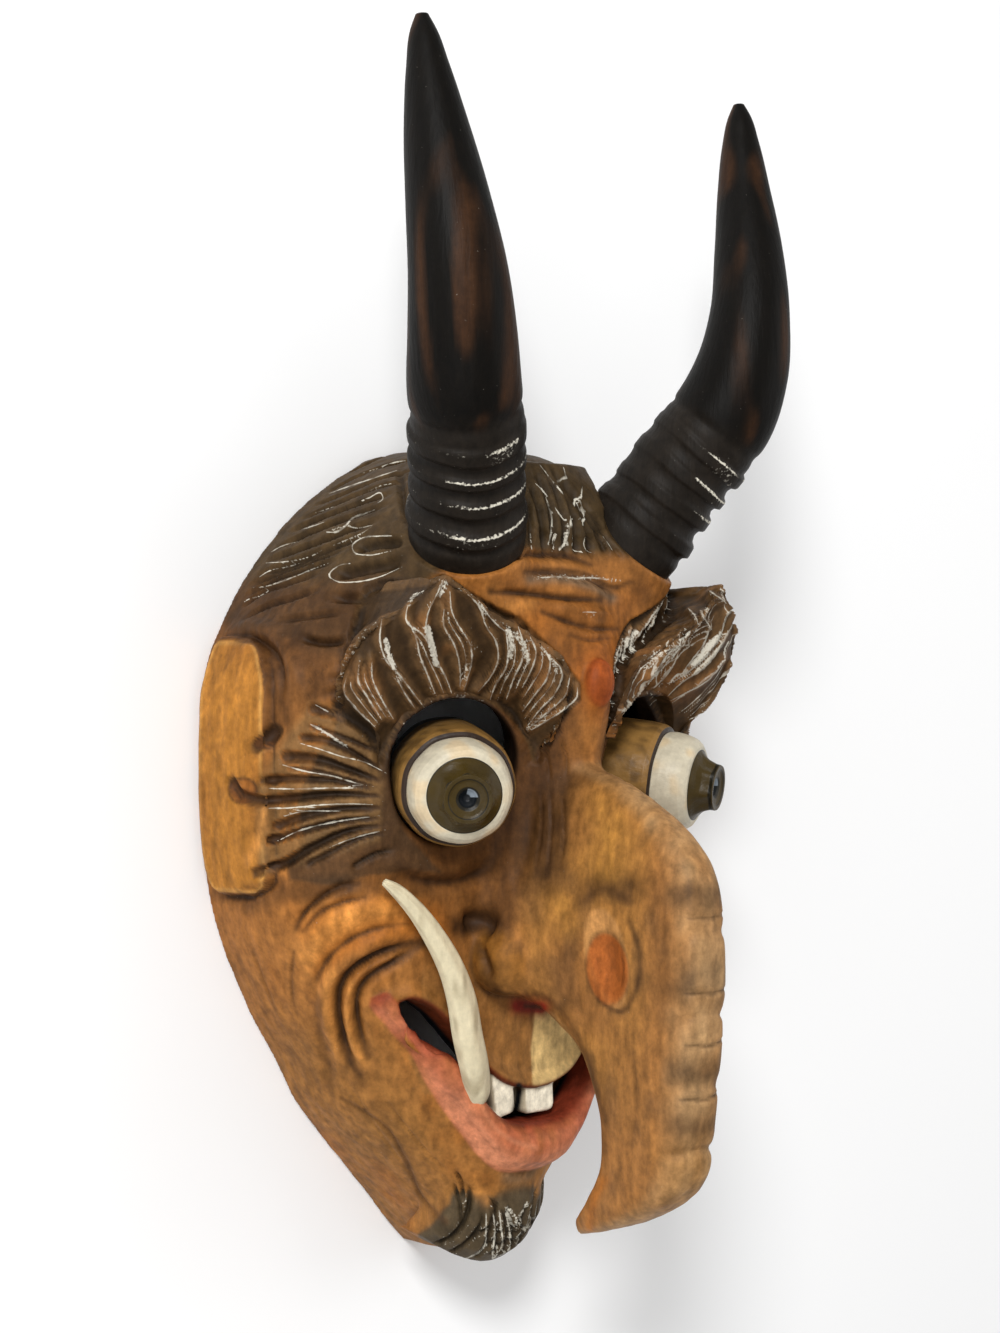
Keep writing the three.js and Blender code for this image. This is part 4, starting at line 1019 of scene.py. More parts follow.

# Painted shade in folds, hollows and notches, painted light on the trunk's bulges, and tints, along
# photograph lines: paint, pixels, half width in pixels and strength
WASHES = [
    ("skin_bright", [(310, 952), (335, 926), (370, 912), (408, 906)], 15, 0.75),
    ("skin_bright", [(330, 975), (330, 1020), (336, 1050)], 9, 0.5),
    ("skin_bright", [(352, 985), (350, 1030), (362, 1064)], 5, 0.6),
    # Painted shade in the eye bag's folds, the smile folds, the cheek's crease, the scored lines of cheek,
    # jaw, chin and nose, and the hollow beside the nose wing
    ("stain_and_shade", BAG_UPPER, 3.6, 0.75),
    ("stain_and_shade", BAG_LOWER, 3.2, 0.6),
    ("stain_and_shade", [(406, 924), (376, 929), (347, 942), (326, 962), (318, 977)], 3, 0.5),
    ("stain_and_shade", SMILE_OUTER, 4.5, 0.8),
    ("stain_and_shade", SMILE_INNER, 4.5, 0.75),
    ("skin_dark", CHEEK_CREASE, 6, 0.55),
    ("skin_dark", CHEEK_SCORE, 2.5, 0.6),
    ("skin_dark", JAW_SCORE, 2.5, 0.5),
    ("skin_dark", RIM_SCORE, 2.5, 0.55),
    ("skin_dark", CHIN_SCORE, 2.5, 0.6),
    ("skin_dark", BEARD_SCORE, 4, 0.6),
    ("stain_and_shade", [(462, 926), (478, 920), (496, 922)], 16, 1.1),
    ("stain_and_shade", [(400, 868), (430, 878), (462, 876), (488, 862)], 9, 0.6),
    ("skin_dark", [(420, 893), (456, 898), (490, 896)], 16, 0.5),
    ("stain_and_shade", [(478, 945), (484, 962), (490, 986), (499, 994)], 7, 0.7),
    ("stain_and_shade", [(542, 792), (541, 828), (536, 875)], 5, 0.7),
    ("stain_and_shade", NOSE_SCORE, 5, 0.65),
    ("stain_and_shade", [(563, 792), (566, 832), (562, 868)], 4.5, 0.6),
    # Painted shade in the valleys beside the trunk's root and between the brows, under the brow's rim and
    # over the almond dent; darker patches on the trunk's flank
    ("skin_dark", [(496, 912), (512, 880), (522, 850), (530, 800)], 22, 0.85),
    ("skin_dark", [(560, 712), (556, 745), (560, 780)], 24, 0.7),
    ("stain_and_shade", [(556, 790), (554, 830), (546, 880)], 22, 0.8),
    ("stain_and_shade", [(568, 784), (590, 776), (612, 780)], 9, 0.45),
    ("stain_and_shade", [(592, 886), (610, 878), (632, 886)], 14, 0.8),
    ("skin_dark", [(575, 905), (568, 950), (575, 1000)], 12, 0.4),
    ("skin_dark", [(655, 880), (664, 940), (650, 1010)], 14, 0.35),
    ("skin_dark", [(410, 716), (430, 705), (460, 698), (490, 702), (520, 726)], 7, 0.7),
    ("stain_and_shade", [(538, 730), (542, 790), (530, 845)], 22, 0.7),
    ("trunk_glow", [(604, 806), (612, 832), (606, 862)], 24, 0.6),
    ("trunk_glow", [(560, 905), (566, 925)], 16, 0.4),
    # Painted shade over and around the almond dent
    ("stain_and_shade", [(585, 900), (604, 890), (629, 902)], 8, 0.7),
    ("stain_and_shade", [(600, 1000), (622, 1012), (636, 990), (640, 955), (630, 922)], 3.5, 0.7),
    # Painted shadow under the nose wing's edge and along the muzzle's side, and painted shade in a score on
    # the trunk
    ("skin_dark", [(488, 960), (497, 990), (513, 998), (540, 995), (560, 1010), (585, 1055),
                   (604, 1121)], 4, 0.7),
    ("skin_dark", [(586, 1060), (600, 1090), (604, 1150)], 9, 0.45),
    ("stain_and_shade", [(633, 1054), (637, 1100), (630, 1150)], 5, 0.35),
    # Painted shade in the trunk's notches
    ("trunk_dark", [(680, 896), (714, 896)], 17, 0.75),
    ("trunk_dark", [(680, 988), (700, 976), (716, 978)], 17, 0.75),
    ("trunk_dark", [(678, 1072), (712, 1075)], 15, 0.7),
    ("trunk_dark", [(676, 1126), (705, 1130)], 16, 0.7),
    # Painted light on the trunk's bulges between the notches
    ("trunk_pale", [(700, 945), (704, 983)], 10, 0.55),
    ("trunk_pale", [(702, 1015), (703, 1034)], 9, 0.5),
    ("trunk_pale", [(700, 1085), (698, 1092)], 8, 0.4),
    ("trunk_pale", [(690, 1152), (684, 1190)], 9, 0.4),
    ("skin_warm", [(604, 1180), (592, 1206), (590, 1228)], 5, 0.8),
    # Painted shade in the notch cuts
    ("stain_and_shade", [(688, 919), (717, 919)], 1.8, 0.5),
    ("stain_and_shade", [(686, 994), (716, 994)], 1.8, 0.5),
    ("stain_and_shade", [(686, 1046), (717, 1047)], 1.8, 0.5),
    ("stain_and_shade", [(680, 1100), (711, 1100)], 1.8, 0.5),
    # Painted shade in the fold hooked over the ear's top
    ("stain_and_shade", [(296, 640), (304, 638)], 9, 0.7),
    ("skin_dark", [(240, 640), (262, 642), (277, 656), (282, 680), (281, 702)], 4, 0.7),
    ("skin_bright", [(248, 860), (262, 830), (262, 812)], 6, 0.5),
    ("grey", [(508, 1178), (530, 1180), (552, 1176)], 8, 0.6),
    ("skin_bright", [(474, 1184), (486, 1200)], 7, 0.5),
]

# Washes across the midline of the forehead and nose: painted shade in the forehead folds and the nostril,
# and tints
FOREHEAD_WASHES = [
    ("stain_and_shade", FROWN_TOP, 3.5, 0.8),
    ("stain_and_shade", [(525, 572), (555, 570), (585, 574), (617, 587), (630, 582)], 3, 0.7),
    ("grey", [(530, 579), (565, 579), (590, 585), (612, 598)], 6, 0.7),
    ("stain_and_shade", FROWN_MIDDLE, 3.5, 0.75),
    ("stain_and_shade", FROWN_LOW, 3, 0.7),
    ("stain_and_shade", FROWN_FOOT, 2.5, 0.5),
    ("skin_dark", [(640, 585), (655, 610), (655, 650)], 14, 0.5),
    ("red_glow", [(600, 668), (608, 690)], 26, 0.7),
    ("nostril", [(518, 1006), (541, 1008)], 8.5, 1.3),
    ("stain_and_shade", [(526, 1006), (540, 1007)], 3.5, 0.8),
    ("skin_bright", [(508, 606), (530, 604)], 8, 0.4),
]

# Painted shadow in the gap between the teeth, as seen straight
MOUTH_WASHES = [
    ("pupil_and_gap_shade", [(519, 1086), (518, 1098), (515, 1113)], 4.2, 1.4),
]


def brow_line(carver, t_low, t_high, first, last, bend):
    """Line on the brow from the gap's edge towards the crest."""
    f = np.linspace(first, last, 12)
    t = t_low + (t_high - t_low) * smooth_step(0, 1, f) + bend * np.sin(2 * np.pi * f)
    low, high, out, face = brow_frame(np.clip(t, 0.0, 1.0))
    tip = high + out * 1.5
    lift = 5 * np.sin(np.pi * np.clip(f, 0, 1))
    return carver.settle(low + (tip - low) * f[:, None] + face * lift[:, None])


def carve_brows(carver, random):
    for n in range(len(BROW_LOCKS) - 1):
        start, end = BROW_LOCKS[n], BROW_LOCKS[n + 1]
        middle = (start + end) / 2
        for k in range(FLUTES_PER_LOCK):
            share = (k + 0.5) / FLUTES_PER_LOCK
            low = start + (end - start) * share
            high = middle + (low - middle) * 0.62
            reach = 0.9 + 0.12 * random.random()
            begin = 0.02 + 0.08 * random.random()
            bend = 0.010 * (random.random() - 0.3)
            line = brow_line(carver, low, high, begin, reach, bend)
            carver.stroke(line, (1.5, 2.7), 1.9 + 0.5 * random.random(), (0.2, 0.12))
        if n > 0:
            line = brow_line(carver, start, start, 0.3, 1.08, 0.006)
            carver.stroke(line, (1.4, 3.2), 3.2, (0.5, 0), kind="vee")
    # Short strokes behind the crest
    for t in np.linspace(0.06, 0.94, 20):
        low, high, out, _ = brow_frame(t)
        back = high[0] + np.array([0, 1.5, -3])
        foot = high[0] - out[0] * 7 + np.array([0, 2, -18])
        carver.stroke(carver.settle(line_through([back, foot], 8)), 2.0, 1.3, (0.1, 0.4))


# Ear panels: height Y with the low and high Z of the panel
EAR_ROWS = [
    [60, 10, 25], [57, 6, 33], [50, 5, 40], [38, 4, 44.5], [5, 4, 45], [-18, 4, 44], [-30, 5, 41],
    [-36.5, 9, 34], [-38.5, 14, 28],
]


def ear_height(points):
    """Distance inside the raised flat panel on each side wall."""
    table = np.array(EAR_ROWS, float)
    y = points[:, 1]
    span = spline(-table[:, 0], table[:, 1:], -y)
    inside = np.minimum(points[:, 2] - span[:, 0], span[:, 1] - points[:, 2])
    return np.minimum(inside, np.minimum(table[0, 0] - y, y - table[-1, 0]))


def polygon_distance(pixels, corners):
    """Signed distance in pixels, positive inside the outline."""
    corners = np.asarray(corners, float)
    best = np.full(len(pixels), 1e9)
    inside = np.zeros(len(pixels), bool)
    for a, b in zip(corners, np.roll(corners, -1, axis=0)):
        step = b - a
        t = np.clip(((pixels - a) @ step) / (step @ step), 0, 1)
        best = np.minimum(best, np.linalg.norm(pixels - a - t[:, None] * step, axis=1))
        crosses = (a[1] > pixels[:, 1]) != (b[1] > pixels[:, 1])
        with np.errstate(divide="ignore", invalid="ignore"):
            at = (b[0] - a[0]) * (pixels[:, 1] - a[1]) / (b[1] - a[1]) + a[0]
        inside ^= crosses & (pixels[:, 0] < at)
    return np.where(inside, best, -best)


# Painted areas of the near half, as photograph outlines
BROW_AREA = [
    (376, 732), (342, 692), (344, 674), (358, 653), (378, 615), (394, 603), (424, 588), (444, 574),
    (457, 585),
    (496, 608), (520, 619), (547, 645), (564, 662), (580, 684), (580, 700), (562, 718), (528, 737),
    (514, 720),
    (496, 706), (470, 698), (440, 703), (414, 712), (396, 728),
]
HAIR_AREA = [
    (430, 430), (360, 440), (300, 490), (240, 560), (215, 620), (242, 634), (266, 630), (290, 640),
    (320, 652),
    (352, 664), (380, 612), (404, 596), (424, 584), (444, 572), (470, 562), (500, 560), (520, 552),
    (560, 556),
    (600, 556), (640, 562), (668, 560), (680, 470), (560, 430),
]
TEMPLE_AREA = [
    (392, 735), (364, 716), (340, 716), (332, 738), (318, 752), (308, 775), (298, 800), (300, 822),
    (306, 842),
    (284, 862), (290, 880), (330, 884), (400, 872), (440, 872), (404, 830), (394, 780),
]
FLUTE_AREA = [
    (380, 740), (350, 712), (310, 704), (292, 730), (270, 762), (256, 790), (256, 830), (258, 872),
    (300, 866),
    (380, 840),
]
CHEEK_GLOW = [(300, 925), (340, 900), (392, 892), (440, 905), (450, 935), (400, 938), (350, 952), (318, 975)]
FOREHEAD_GLOW = [(500, 575), (560, 600), (620, 600), (650, 640), (640, 700), (590, 720), (560, 670),
                 (520, 620)]
BEARD_AREA = [
    (400, 1250), (428, 1228), (450, 1204), (455, 1168), (468, 1174), (482, 1192), (494, 1196), (506, 1180),
    (530, 1176), (552, 1166), (574, 1152), (580, 1180), (560, 1230), (540, 1260), (500, 1275), (430, 1275),
]
MUZZLE_PALE = [
    (535, 1008), (552, 1012), (566, 1026), (580, 1050), (583, 1060), (573, 1075), (560, 1085),
    (533, 1087), (531, 1050),
]
EAR_EDGE_AREA = [
    (232, 628), (300, 640), (345, 664), (344, 700), (310, 702), (286, 730), (262, 752), (250, 790),
    (252, 840),
    (262, 880), (300, 880), (400, 872), (440, 880), (420, 896), (340, 896), (250, 912), (214, 900),
    (240, 860), (262, 700),
]
ALMOND_CENTRE = (607.5, 969)
ALMOND_HALF = (20.5, 35.5)
EAR_DABS = [((266, 741), 12.5, 7, -0.35), ((243, 791), 14, 13, 0.1)]


def linear(name):
    c = np.array(PAINT[name]) / 255.0
    return np.where(c <= 0.04045, c / 12.92, ((c + 0.055) / 1.055) ** 2.4)


def lay_paint(paint, name, amount):
    return paint + (linear(name) - paint) * np.clip(amount, 0, 1)[:, None]


# Paint: sizes of its mottling in millimetres, and how sharply a wash fades
MOTTLE_SIZE = (7, 11, 7)
FINE_SIZE = (2.2, 6, 2.2)
BROAD_SIZE = (24, 34, 24)
STREAK_SIZE = (1.5, 15, 1.5)
WASH_FALL = 1.2
# Side walls lie beyond this X; muzzle, lips and teeth lie in front of these Z
WALL_X = 70
MUZZLE_BACK = 60
LIP_BACK = 40
TOOTH_BACK = 50
# Painted highlight along the lower lip
LIP_SHINE = [(480, 1101), (491, 1123), (513, 1141), (536, 1148)]


def face_paint(points, normals, hollow_side, flutes):
    """Paint from the undercoat outwards, and the groups that the white lines need."""
    near = near_side(points)
    near_normals = normals * np.where(points[:, :1] > 0, [[-1, 1, 1]], [[1, 1, 1]])
    facing = smooth_step(-0.05, 0.25, near_normals @ CAMERA_BACK) * (1 - hollow_side)
    pixels = to_photo(near)
    straight = to_photo(points)
    mottle = value_noise(points, MOTTLE_SIZE, 1)
    fine = value_noise(points, FINE_SIZE, 2)
    broad = value_noise(points, BROAD_SIZE, 3)
    inside = {name: sample(field, points) for name, field in MEMBERS.items()}
    x, y, z = points.T
    px, py = pixels.T
    paint = np.tile(linear("skin"), (len(points), 1))

    def lay(name, amount, at=slice(None)):
        paint[at] = lay_paint(paint[at], name, amount)

    def edge(area, feather):
        return smooth_step(-feather, feather, polygon_distance(pixels, area) + 4 * (mottle - 0.5))

    lay("skin_olive", smooth_step(-40, -130, y) * (0.3 + 0.6 * broad))
    lay("skin_dark", smooth_step(0.5, 0.9, mottle * 0.6 + broad * 0.4) * 0.45)
    lay("skin_warm", smooth_step(0.5, 0.9, 1 - mottle * 0.5 - broad * 0.5) * 0.4)
    lay("skin_warm", 0.75 * edge(CHEEK_GLOW, 10))
    lay("skin_dark", 0.65 * edge(FOREHEAD_GLOW, 16))
    lay("skin_warm", 0.5 * edge(FOREHEAD_GLOW, 16) * (0.3 + mottle))
    # Painted shade around the eye, over the temple and the brow's foot
    lay("skin_dark", 0.85 * smooth_step(52, 27, np.linalg.norm(near - mirror(EYE_SEAT, -1), axis=1)))
    ear = ear_height(points)
    on_wall = smooth_step(0.35, 0.8, np.abs(normals[:, 0])) * (np.abs(x) > WALL_X)
    on_ear = smooth_step(0.2, 1.4, ear) * on_wall
    behind = edge(EAR_EDGE_AREA, 8) * facing * (1 - on_ear)
    lay("skin_dark", behind * (0.45 + 0.4 * mottle))
    lay("ear", on_ear)
    # Painted highlight along the ear panel's raised edge
    lay("ear_rim", np.exp(-((ear - 1.9) / 0.9) ** 2) * on_wall * 0.55)
    lay("ear_dark", on_ear * smooth_step(0.45, 0.8, broad) * 0.5)
    temple = edge(TEMPLE_AREA, 3)
    lay("temple", temple * facing * 0.8)
    # Painted shade at the foot of the ear panel's edge
    rim = np.exp(-((ear + 0.9) / 1.2) ** 2) * on_wall
    lay("stain_and_shade", rim * 0.95 * (0.6 + 0.6 * mottle))
    lay("ochre", smooth_step(0.5, 0.1, flutes) * edge(FLUTE_AREA, 6) * facing * 0.75)
    # Painted shade in the temple flutes, darker where they are cut deeper
    lay("flute", smooth_step(0.25, 1.5, flutes) * facing * 0.7)
    for centre, long, short, tilt in EAR_DABS:
        c, q = math.cos(tilt), math.sin(tilt)
        u = (pixels - centre) @ np.array([[c, -q], [q, c]])
        r = np.hypot(u[:, 0] / long, u[:, 1] / short)
        lay("ear_dark", smooth_step(1.12, 0.9, r) * facing * 0.6)
        lay("stain_and_shade", np.exp(-((r - 1) / 0.12) ** 2) * facing * 0.7)
    hair = edge(HAIR_AREA, 9)
    forelock = smooth_step(1.0, -0.2, inside["forelock"])
    lay("hair", 0.97 * hair * smooth_step(700, 630, py))
    crown = smooth_step(560, 600, py) * smooth_step(700, 640, py) * smooth_step(430, 380, px)
    lay("skin_dark", 0.75 * crown * facing * (1 - on_ear))
    # Trunk, muzzle and beard
    trunk = smooth_step(2.0, -0.5, inside["trunk"]) * smooth_step(84, 98, z)
    lay("trunk", trunk * 0.9)
    lay("trunk_glow", trunk * smooth_step(0.4, 0.85, broad) * 0.35)
    lay("trunk_dark", trunk * smooth_step(0.4, 0.85, mottle) * 0.5)
    # The trunk's front edge paler: partly its paint, partly painted light on the edge
    front = smooth_step(13, 2, trunk_front_gap(points)) * trunk
    lay("trunk_pale", front * (0.3 + 0.5 * mottle))
    lay("wing", smooth_step(2.4, 0.2, inside["wing"]))
    under = smooth_step(940, 990, py) * (py < 1095) * (np.abs(x) < 52) * (1 - trunk)
    lay("muzzle", under * (z > MUZZLE_BACK) * 0.6)
    # Pale facet right of the muzzle's middle: partly its paint, partly painted light where the trunk shades
    # it
    pale = smooth_step(-1.5, 1.5, polygon_distance(straight, MUZZLE_PALE)) * (z > MUZZLE_BACK)
    lay("muzzle_pale", pale * (1 - hollow_side) * (1 - trunk) * 0.9)
    beard = smooth_step(2.4, 0.2, inside["beard"]) * edge(BEARD_AREA, 2.5)
    lay("beard", beard)
    lay("hair", forelock)
    for name, line, half, strength in WASHES:
        at, gap, _ = line_gap(pixels, line, half * 2.2)
        amount = np.exp(-(gap / half) ** 2 * WASH_FALL) * strength * facing[at]
        amount *= 0.75 + 0.5 * (fine[at] - 0.5) + 0.25 * mottle[at]
        lay(name, amount, at)
    for name, line, half, strength in FOREHEAD_WASHES:
        at, gap, _ = line_gap(straight, line, half * 2.2)
        ahead = smooth_step(46, 58, z[at])
        amount = np.exp(-(gap / half) ** 2 * WASH_FALL) * strength * ahead * (1 - hollow_side[at])
        lay(name, amount, at)
    lay("red", smooth_step(1.2, -0.5, inside["spot"]) * 0.85)
    # Brows
    brow = smooth_step(0.8, -0.4, inside["brow"]) * (inside["brow"] > -9)
    outlined = smooth_step(-2, 1, polygon_distance(pixels, BROW_AREA)) * (z > BROW_FOOT)
    brow = np.maximum(brow, outlined * facing)
    lay("brow", brow)
    ridge_gap = photo_ridges(pixels, BROW_RIDGES + with_between(BROW_RIDGES))
    # Lighter near the ridges: painted light on the ridges, leaving the gouges' bottoms darker
    lay("brow_warm", brow * smooth_step(4.5, 0.5, ridge_gap) * (0.3 + 0.9 * mottle))
    lay("brow_glow", brow * smooth_step(0.55, 0.8, broad * 0.4 + mottle * 0.6) * 0.6)
    # Lips, mouth and teeth
    lip = smooth_step(0.7, -0.4, inside["lip"]) * (z > LIP_BACK)
    lay("lip", lip)
    # Painted highlight along the lower lip's crest
    at, gap, _ = line_gap(straight, LIP_SHINE, 9)
    lay("lip_light", np.exp(-(gap / 3) ** 2) * lip[at] * 0.7, at)
    below = level_gap(points)
    lay("lip_light", lip * smooth_step(-1.5, 6, below) * (0.15 + 0.55 * mottle))
    lay("lip_light", lip * smooth_step(8, 16, below) * smooth_step(60, 30, np.abs(x)) * 0.7)
    lay("lip_dark", lip * smooth_step(5.5, -1, below) * 0.85)
    gape = inside["gape"]
    tooth = smooth_step(0.8, 0.1, inside["tooth"]) * (z > TOOTH_BACK)
    lay("mouth", smooth_step(2.6, 0.6, gape) * smooth_step(-6, -4, gape) * (1 - lip * 0.6) * 0.9)
    # Painted shade deep in the mouth's opening
    deep = smooth_step(5, 9, face_depth(x, y) - z)
    lay("pupil_and_gap_shade", smooth_step(2.6, 0.6, gape) * deep * (1 - tooth))
    lay("nostril", smooth_step(1.6, 0.2, inside["nostril"]))
    lay("almond_rim", smooth_step(2.6, 1.0, inside["almond"]) * trunk)
    u = (pixels - ALMOND_CENTRE) @ np.array([[1, 0.12], [-0.12, 1]])
    r = np.hypot(u[:, 0] / ALMOND_HALF[0], u[:, 1] / ALMOND_HALF[1])
    lay("almond", smooth_step(1.1, 0.94, r) * facing * trunk)
    lay("stain_and_shade", np.exp(-((r - 1.06) / 0.07) ** 2) * facing * trunk * 0.45)
    tooth = tooth * (straight[:, 1] > 1071)
    lay("tooth", tooth)
    # Painted shade on the teeth's sides that face -X
    lay("cream_dark", tooth * smooth_step(-0.25, -0.7, normals[:, 0]) * 0.7)
    for name, line, half, strength in MOUTH_WASHES:
        at, gap, _ = line_gap(straight, line, half * 2)
        ahead = (z[at] > LIP_BACK) * (normals[at] @ CAMERA_BACK > 0)
        lay(name, np.exp(-(gap / half) ** 2 * 1.5) * strength * ahead, at)
    # Painted shade in the eye sockets, weaker below the eye
    above = 0.4 + 0.6 * smooth_step(-10, 6, y - EYE_SEAT[1])
    lay("socket", smooth_step(2.0, 0.3, inside["socket"]) * above)
    # The hollow's inner wall painted near black: painted shade inside the mask
    lay("inside", hollow_side)
    streak = value_noise(points, STREAK_SIZE, 5)
    shade = 0.76 + 0.3 * fine + 0.34 * (mottle - 0.5) + 0.22 * (streak - 0.3)
    shade += (1 - shade) * np.maximum(0.6 * lip, tooth)
    groups = {
        "brow": brow, "hair": np.maximum(hair, forelock),
        "beard": beard, "temple": temple, "lip": lip,
        "pixels": pixels, "straight": straight, "facing": facing,
    }
    return paint * shade[:, None], groups


def level_gap(points):
    """Distance below the mouth's lower line."""
    return level_on(LIP_INNER_LINE, points[:, 0]) - points[:, 1]


def trunk_front_gap(points):
    """Distance back from the trunk's front edge."""
    table = np.array(TRUNK, float)
    level = points[:, 1]
    front = spline(-table[:, 0], table[:, 1:2], -level)[:, 0]
    return front - points[:, 2]


def build_face():
    points, quads = mesh_of(mask_field())
    pairs = edge_pairs(quads)
    points = relax(points, pairs, 2)
    random = np.random.default_rng(7)

    # Broad forms first
    broad = Carver(points, quads)
    broad.follow(BROAD_LINES, (0.25, 0.25), kind="soft")
    broad.follow(FOREHEAD_LINES, (0.3, 0.3), kind="soft", both=False)
    wall = smooth_step(0.3, 0.75, np.abs(broad.normals[:, 0])) * (np.abs(points[:, 0]) > WALL_X)
    wall = wall * (np.abs(points[:, 0]) > head_row(points[:, 1])[:, 0] * 0.9)
    broad.soft += EAR_RISE * smooth_step(-0.8, 1.2, ear_height(points)) * wall
    points = relax(broad.moved(), pairs, 1)

    # Gouge strokes
    fine = Carver(points, quads)
    near = near_side(points)
    near_normals = fine.normals * np.where(points[:, :1] > 0, [[-1, 1, 1]], [[1, 1, 1]])
    carve_brows(fine, random)
    brow_gap = sample(MEMBERS["brow"], points)
    on_brow = smooth_step(1.5, 0.5, brow_gap) * (brow_gap > -9)
    outlined = smooth_step(-2, 2, polygon_distance(to_photo(near), BROW_AREA)) * (points[:, 2] > BROW_FOOT)
    drawn = smooth_step(0.1, 0.4, near_normals @ CAMERA_BACK) * np.maximum(on_brow, outlined)
    ridge_gap = photo_ridges(to_photo(near), BROW_RIDGES)
    minor_gap = photo_ridges(to_photo(near), with_between(BROW_RIDGES))
    ridge_gap = np.minimum(ridge_gap, minor_gap + MINOR_DROP)
    fine.cut = fine.cut * (1 - drawn) + gouge_of(ridge_gap) * drawn
    far_drawn = smooth_step(0.1, 0.4, fine.normals @ CAMERA_BACK) * on_brow * (points[:, 0] > 0)
    far_gap = photo_ridges(to_photo(points), FAR_BROW_RIDGES)
    fine.cut = fine.cut * (1 - far_drawn) + gouge_of(far_gap) * far_drawn
    before = fine.cut
    fine.cut = np.zeros(len(points))
    fine.follow(TEMPLE_FLUTES, (0.3, 0.04))
    flutes = fine.cut
    fine.cut = np.maximum(before, flutes)
    fine.follow(HAIR_FLUTES, (0.22, 0.18))
    fine.follow(TUFT_FLUTES, (0.15, 0.08), both=False)
    fine.follow(BEARD_FLUTES, (0.3, 0.05))
    fine.follow(SCORES, (0.3, 0.3), kind="vee")
    fine.soft += CHATTER * (value_noise(points, (3.5, 9, 3.5), 11) - 0.5)
    points = fine.moved()

    # Ridge and hollow measures for the paint
    normals = vertex_normals(points, quads)
    bulge = -((neighbour_mean(points, pairs) - points) * normals).sum(1)
    bulge = neighbour_mean(bulge, pairs)[:, 0]
    wide = bulge
    for _ in range(8):
        wide = neighbour_mean(wide, pairs)[:, 0]
    hollow_side = smooth_step(1.4, 0.4, sample(MEMBERS["hollow"], points))
    return points, quads, normals, {
        "ridge": bulge, "wide": wide, "depth": fine.cut, "inner": hollow_side, "flutes": flutes}


def near_side(points):
    """The points with both halves brought to the side that the photograph shows."""
    return points * np.where(points[:, :1] > 0, [[-1, 1, 1]], [[1, 1, 1]])


def with_between(lines):
    """The lines and, between each neighbouring pair of about the same length, one more."""
    more = []
    for first, second in zip(lines[:-1], lines[1:]):
        a = line_through([list(p) for p in first], 9)
        b = line_through([list(p) for p in second], 9)
        gap = np.linalg.norm(a - b, axis=1)
        if gap.min() > 4 and gap.max() < 34:
            more.append([tuple(p) for p in (a * 0.52 + b * 0.48)[1:]])
    return more


def gouge_of(gap):
    """Depth of a hollow gouge at a distance in pixels from its ridge."""
    return GOUGE_DEPTH * gap / (gap + GOUGE_REACH)


def photo_ridges(pixels, lines):
    """Pixels from each point to the nearest of the lines, up to the gouges' reach."""
    gap = np.full(len(pixels), float(RIDGE_REACH))
    for line in lines:
        at, away, _ = line_gap(pixels, line, RIDGE_REACH)
        gap[at] = np.minimum(gap[at], np.abs(away))
    return gap


def new_mesh(name, points, quads, tris=None):
    mesh = bpy.data.meshes.new(name)
    faces = [quads] if tris is None else [quads, tris]
    count = sum(f.size for f in faces)
    total = sum(len(f) for f in faces)
    mesh.vertices.add(len(points))
    mesh.vertices.foreach_set("co", np.asarray(points, np.float32).ravel())
    mesh.loops.add(count)
    mesh.loops.foreach_set("vertex_index", np.concatenate([f.ravel() for f in faces]).astype(np.int32))
    mesh.polygons.add(total)
    sizes = np.concatenate([np.full(len(f), f.shape[1]) for f in faces])
    starts = np.r_[0, np.cumsum(sizes)[:-1]]
    mesh.polygons.foreach_set("loop_start", starts.astype(np.int32))
    mesh.update(calc_edges=True)
    mesh.validate()
    mesh.polygons.foreach_set("use_smooth", np.ones(len(mesh.polygons), bool))
    return mesh


def to_row(points):
    return (np.asarray(points, float) + [0, CENTRE_SHIFT_Y, 0]) * MM


def add_object(name, mesh):
    piece = bpy.data.objects.new(name, mesh)
    bpy.context.scene.collection.objects.link(piece)
    return piece


def set_values(mesh, name, values):
    layer = mesh.attributes.new(name, "FLOAT", "POINT")
    layer.data.foreach_set("value", np.asarray(values, np.float32))


def set_paint(mesh, paint):
    layer = mesh.color_attributes.new("paint", "FLOAT_COLOR", "POINT")
    rgba = np.ones((len(paint), 4), np.float32)
    rgba[:, :3] = np.clip(paint, 0, 1)
    layer.data.foreach_set("color", rgba.ravel())


# Materials: depth of the grain and of the tool marks, in metres
GRAIN_BUMP = 0.0006
TOOL_BUMP = 0.0008


class Nodes:
    """Adds shader nodes to one material."""

    def __init__(self, stuff):
        stuff.use_nodes = True
        self.nodes = stuff.node_tree.nodes
        self.links = stuff.node_tree.links
        self.shader = self.nodes["Principled BSDF"]

    def add(self, kind, inputs, **settings):
        """A node; a number or colour is set on its socket and an output is linked to it."""
        node = self.nodes.new("ShaderNode" + kind)
        for name, value in settings.items():
            setattr(node, name, value)
        for name, value in inputs.items():
            if isinstance(value, bpy.types.NodeSocket):
                self.links.new(value, node.inputs[name])
            else:
                node.inputs[name].default_value = value
        return node

    def noise(self, place, scale, detail, roughness=0.5):
        inputs = {"Vector": place, "Scale": scale, "Detail": detail, "Roughness": roughness}
        return self.add("TexNoise", inputs).outputs["Fac"]

    def ramp(self, value, low, high, to_low=0.0, to_high=1.0, kind="SMOOTHSTEP"):
        inputs = {"Value": value, "From Min": low, "From Max": high, "To Min": to_low, "To Max": to_high}
        return self.add("MapRange", inputs, interpolation_type=kind).outputs["Result"]

    def math(self, operation, first, second=0.0, third=0.0):
        inputs = {0: first, 1: second, 2: third}
        return self.add("Math", inputs, operation=operation).outputs["Value"]

    def scale(self, vector, amount):
        node = self.add("VectorMath", {0: vector, "Scale": amount}, operation="SCALE")
        return node.outputs["Vector"]

    def attribute(self, name):
        return self.add("Attribute", {}, attribute_name=name).outputs["Fac"]


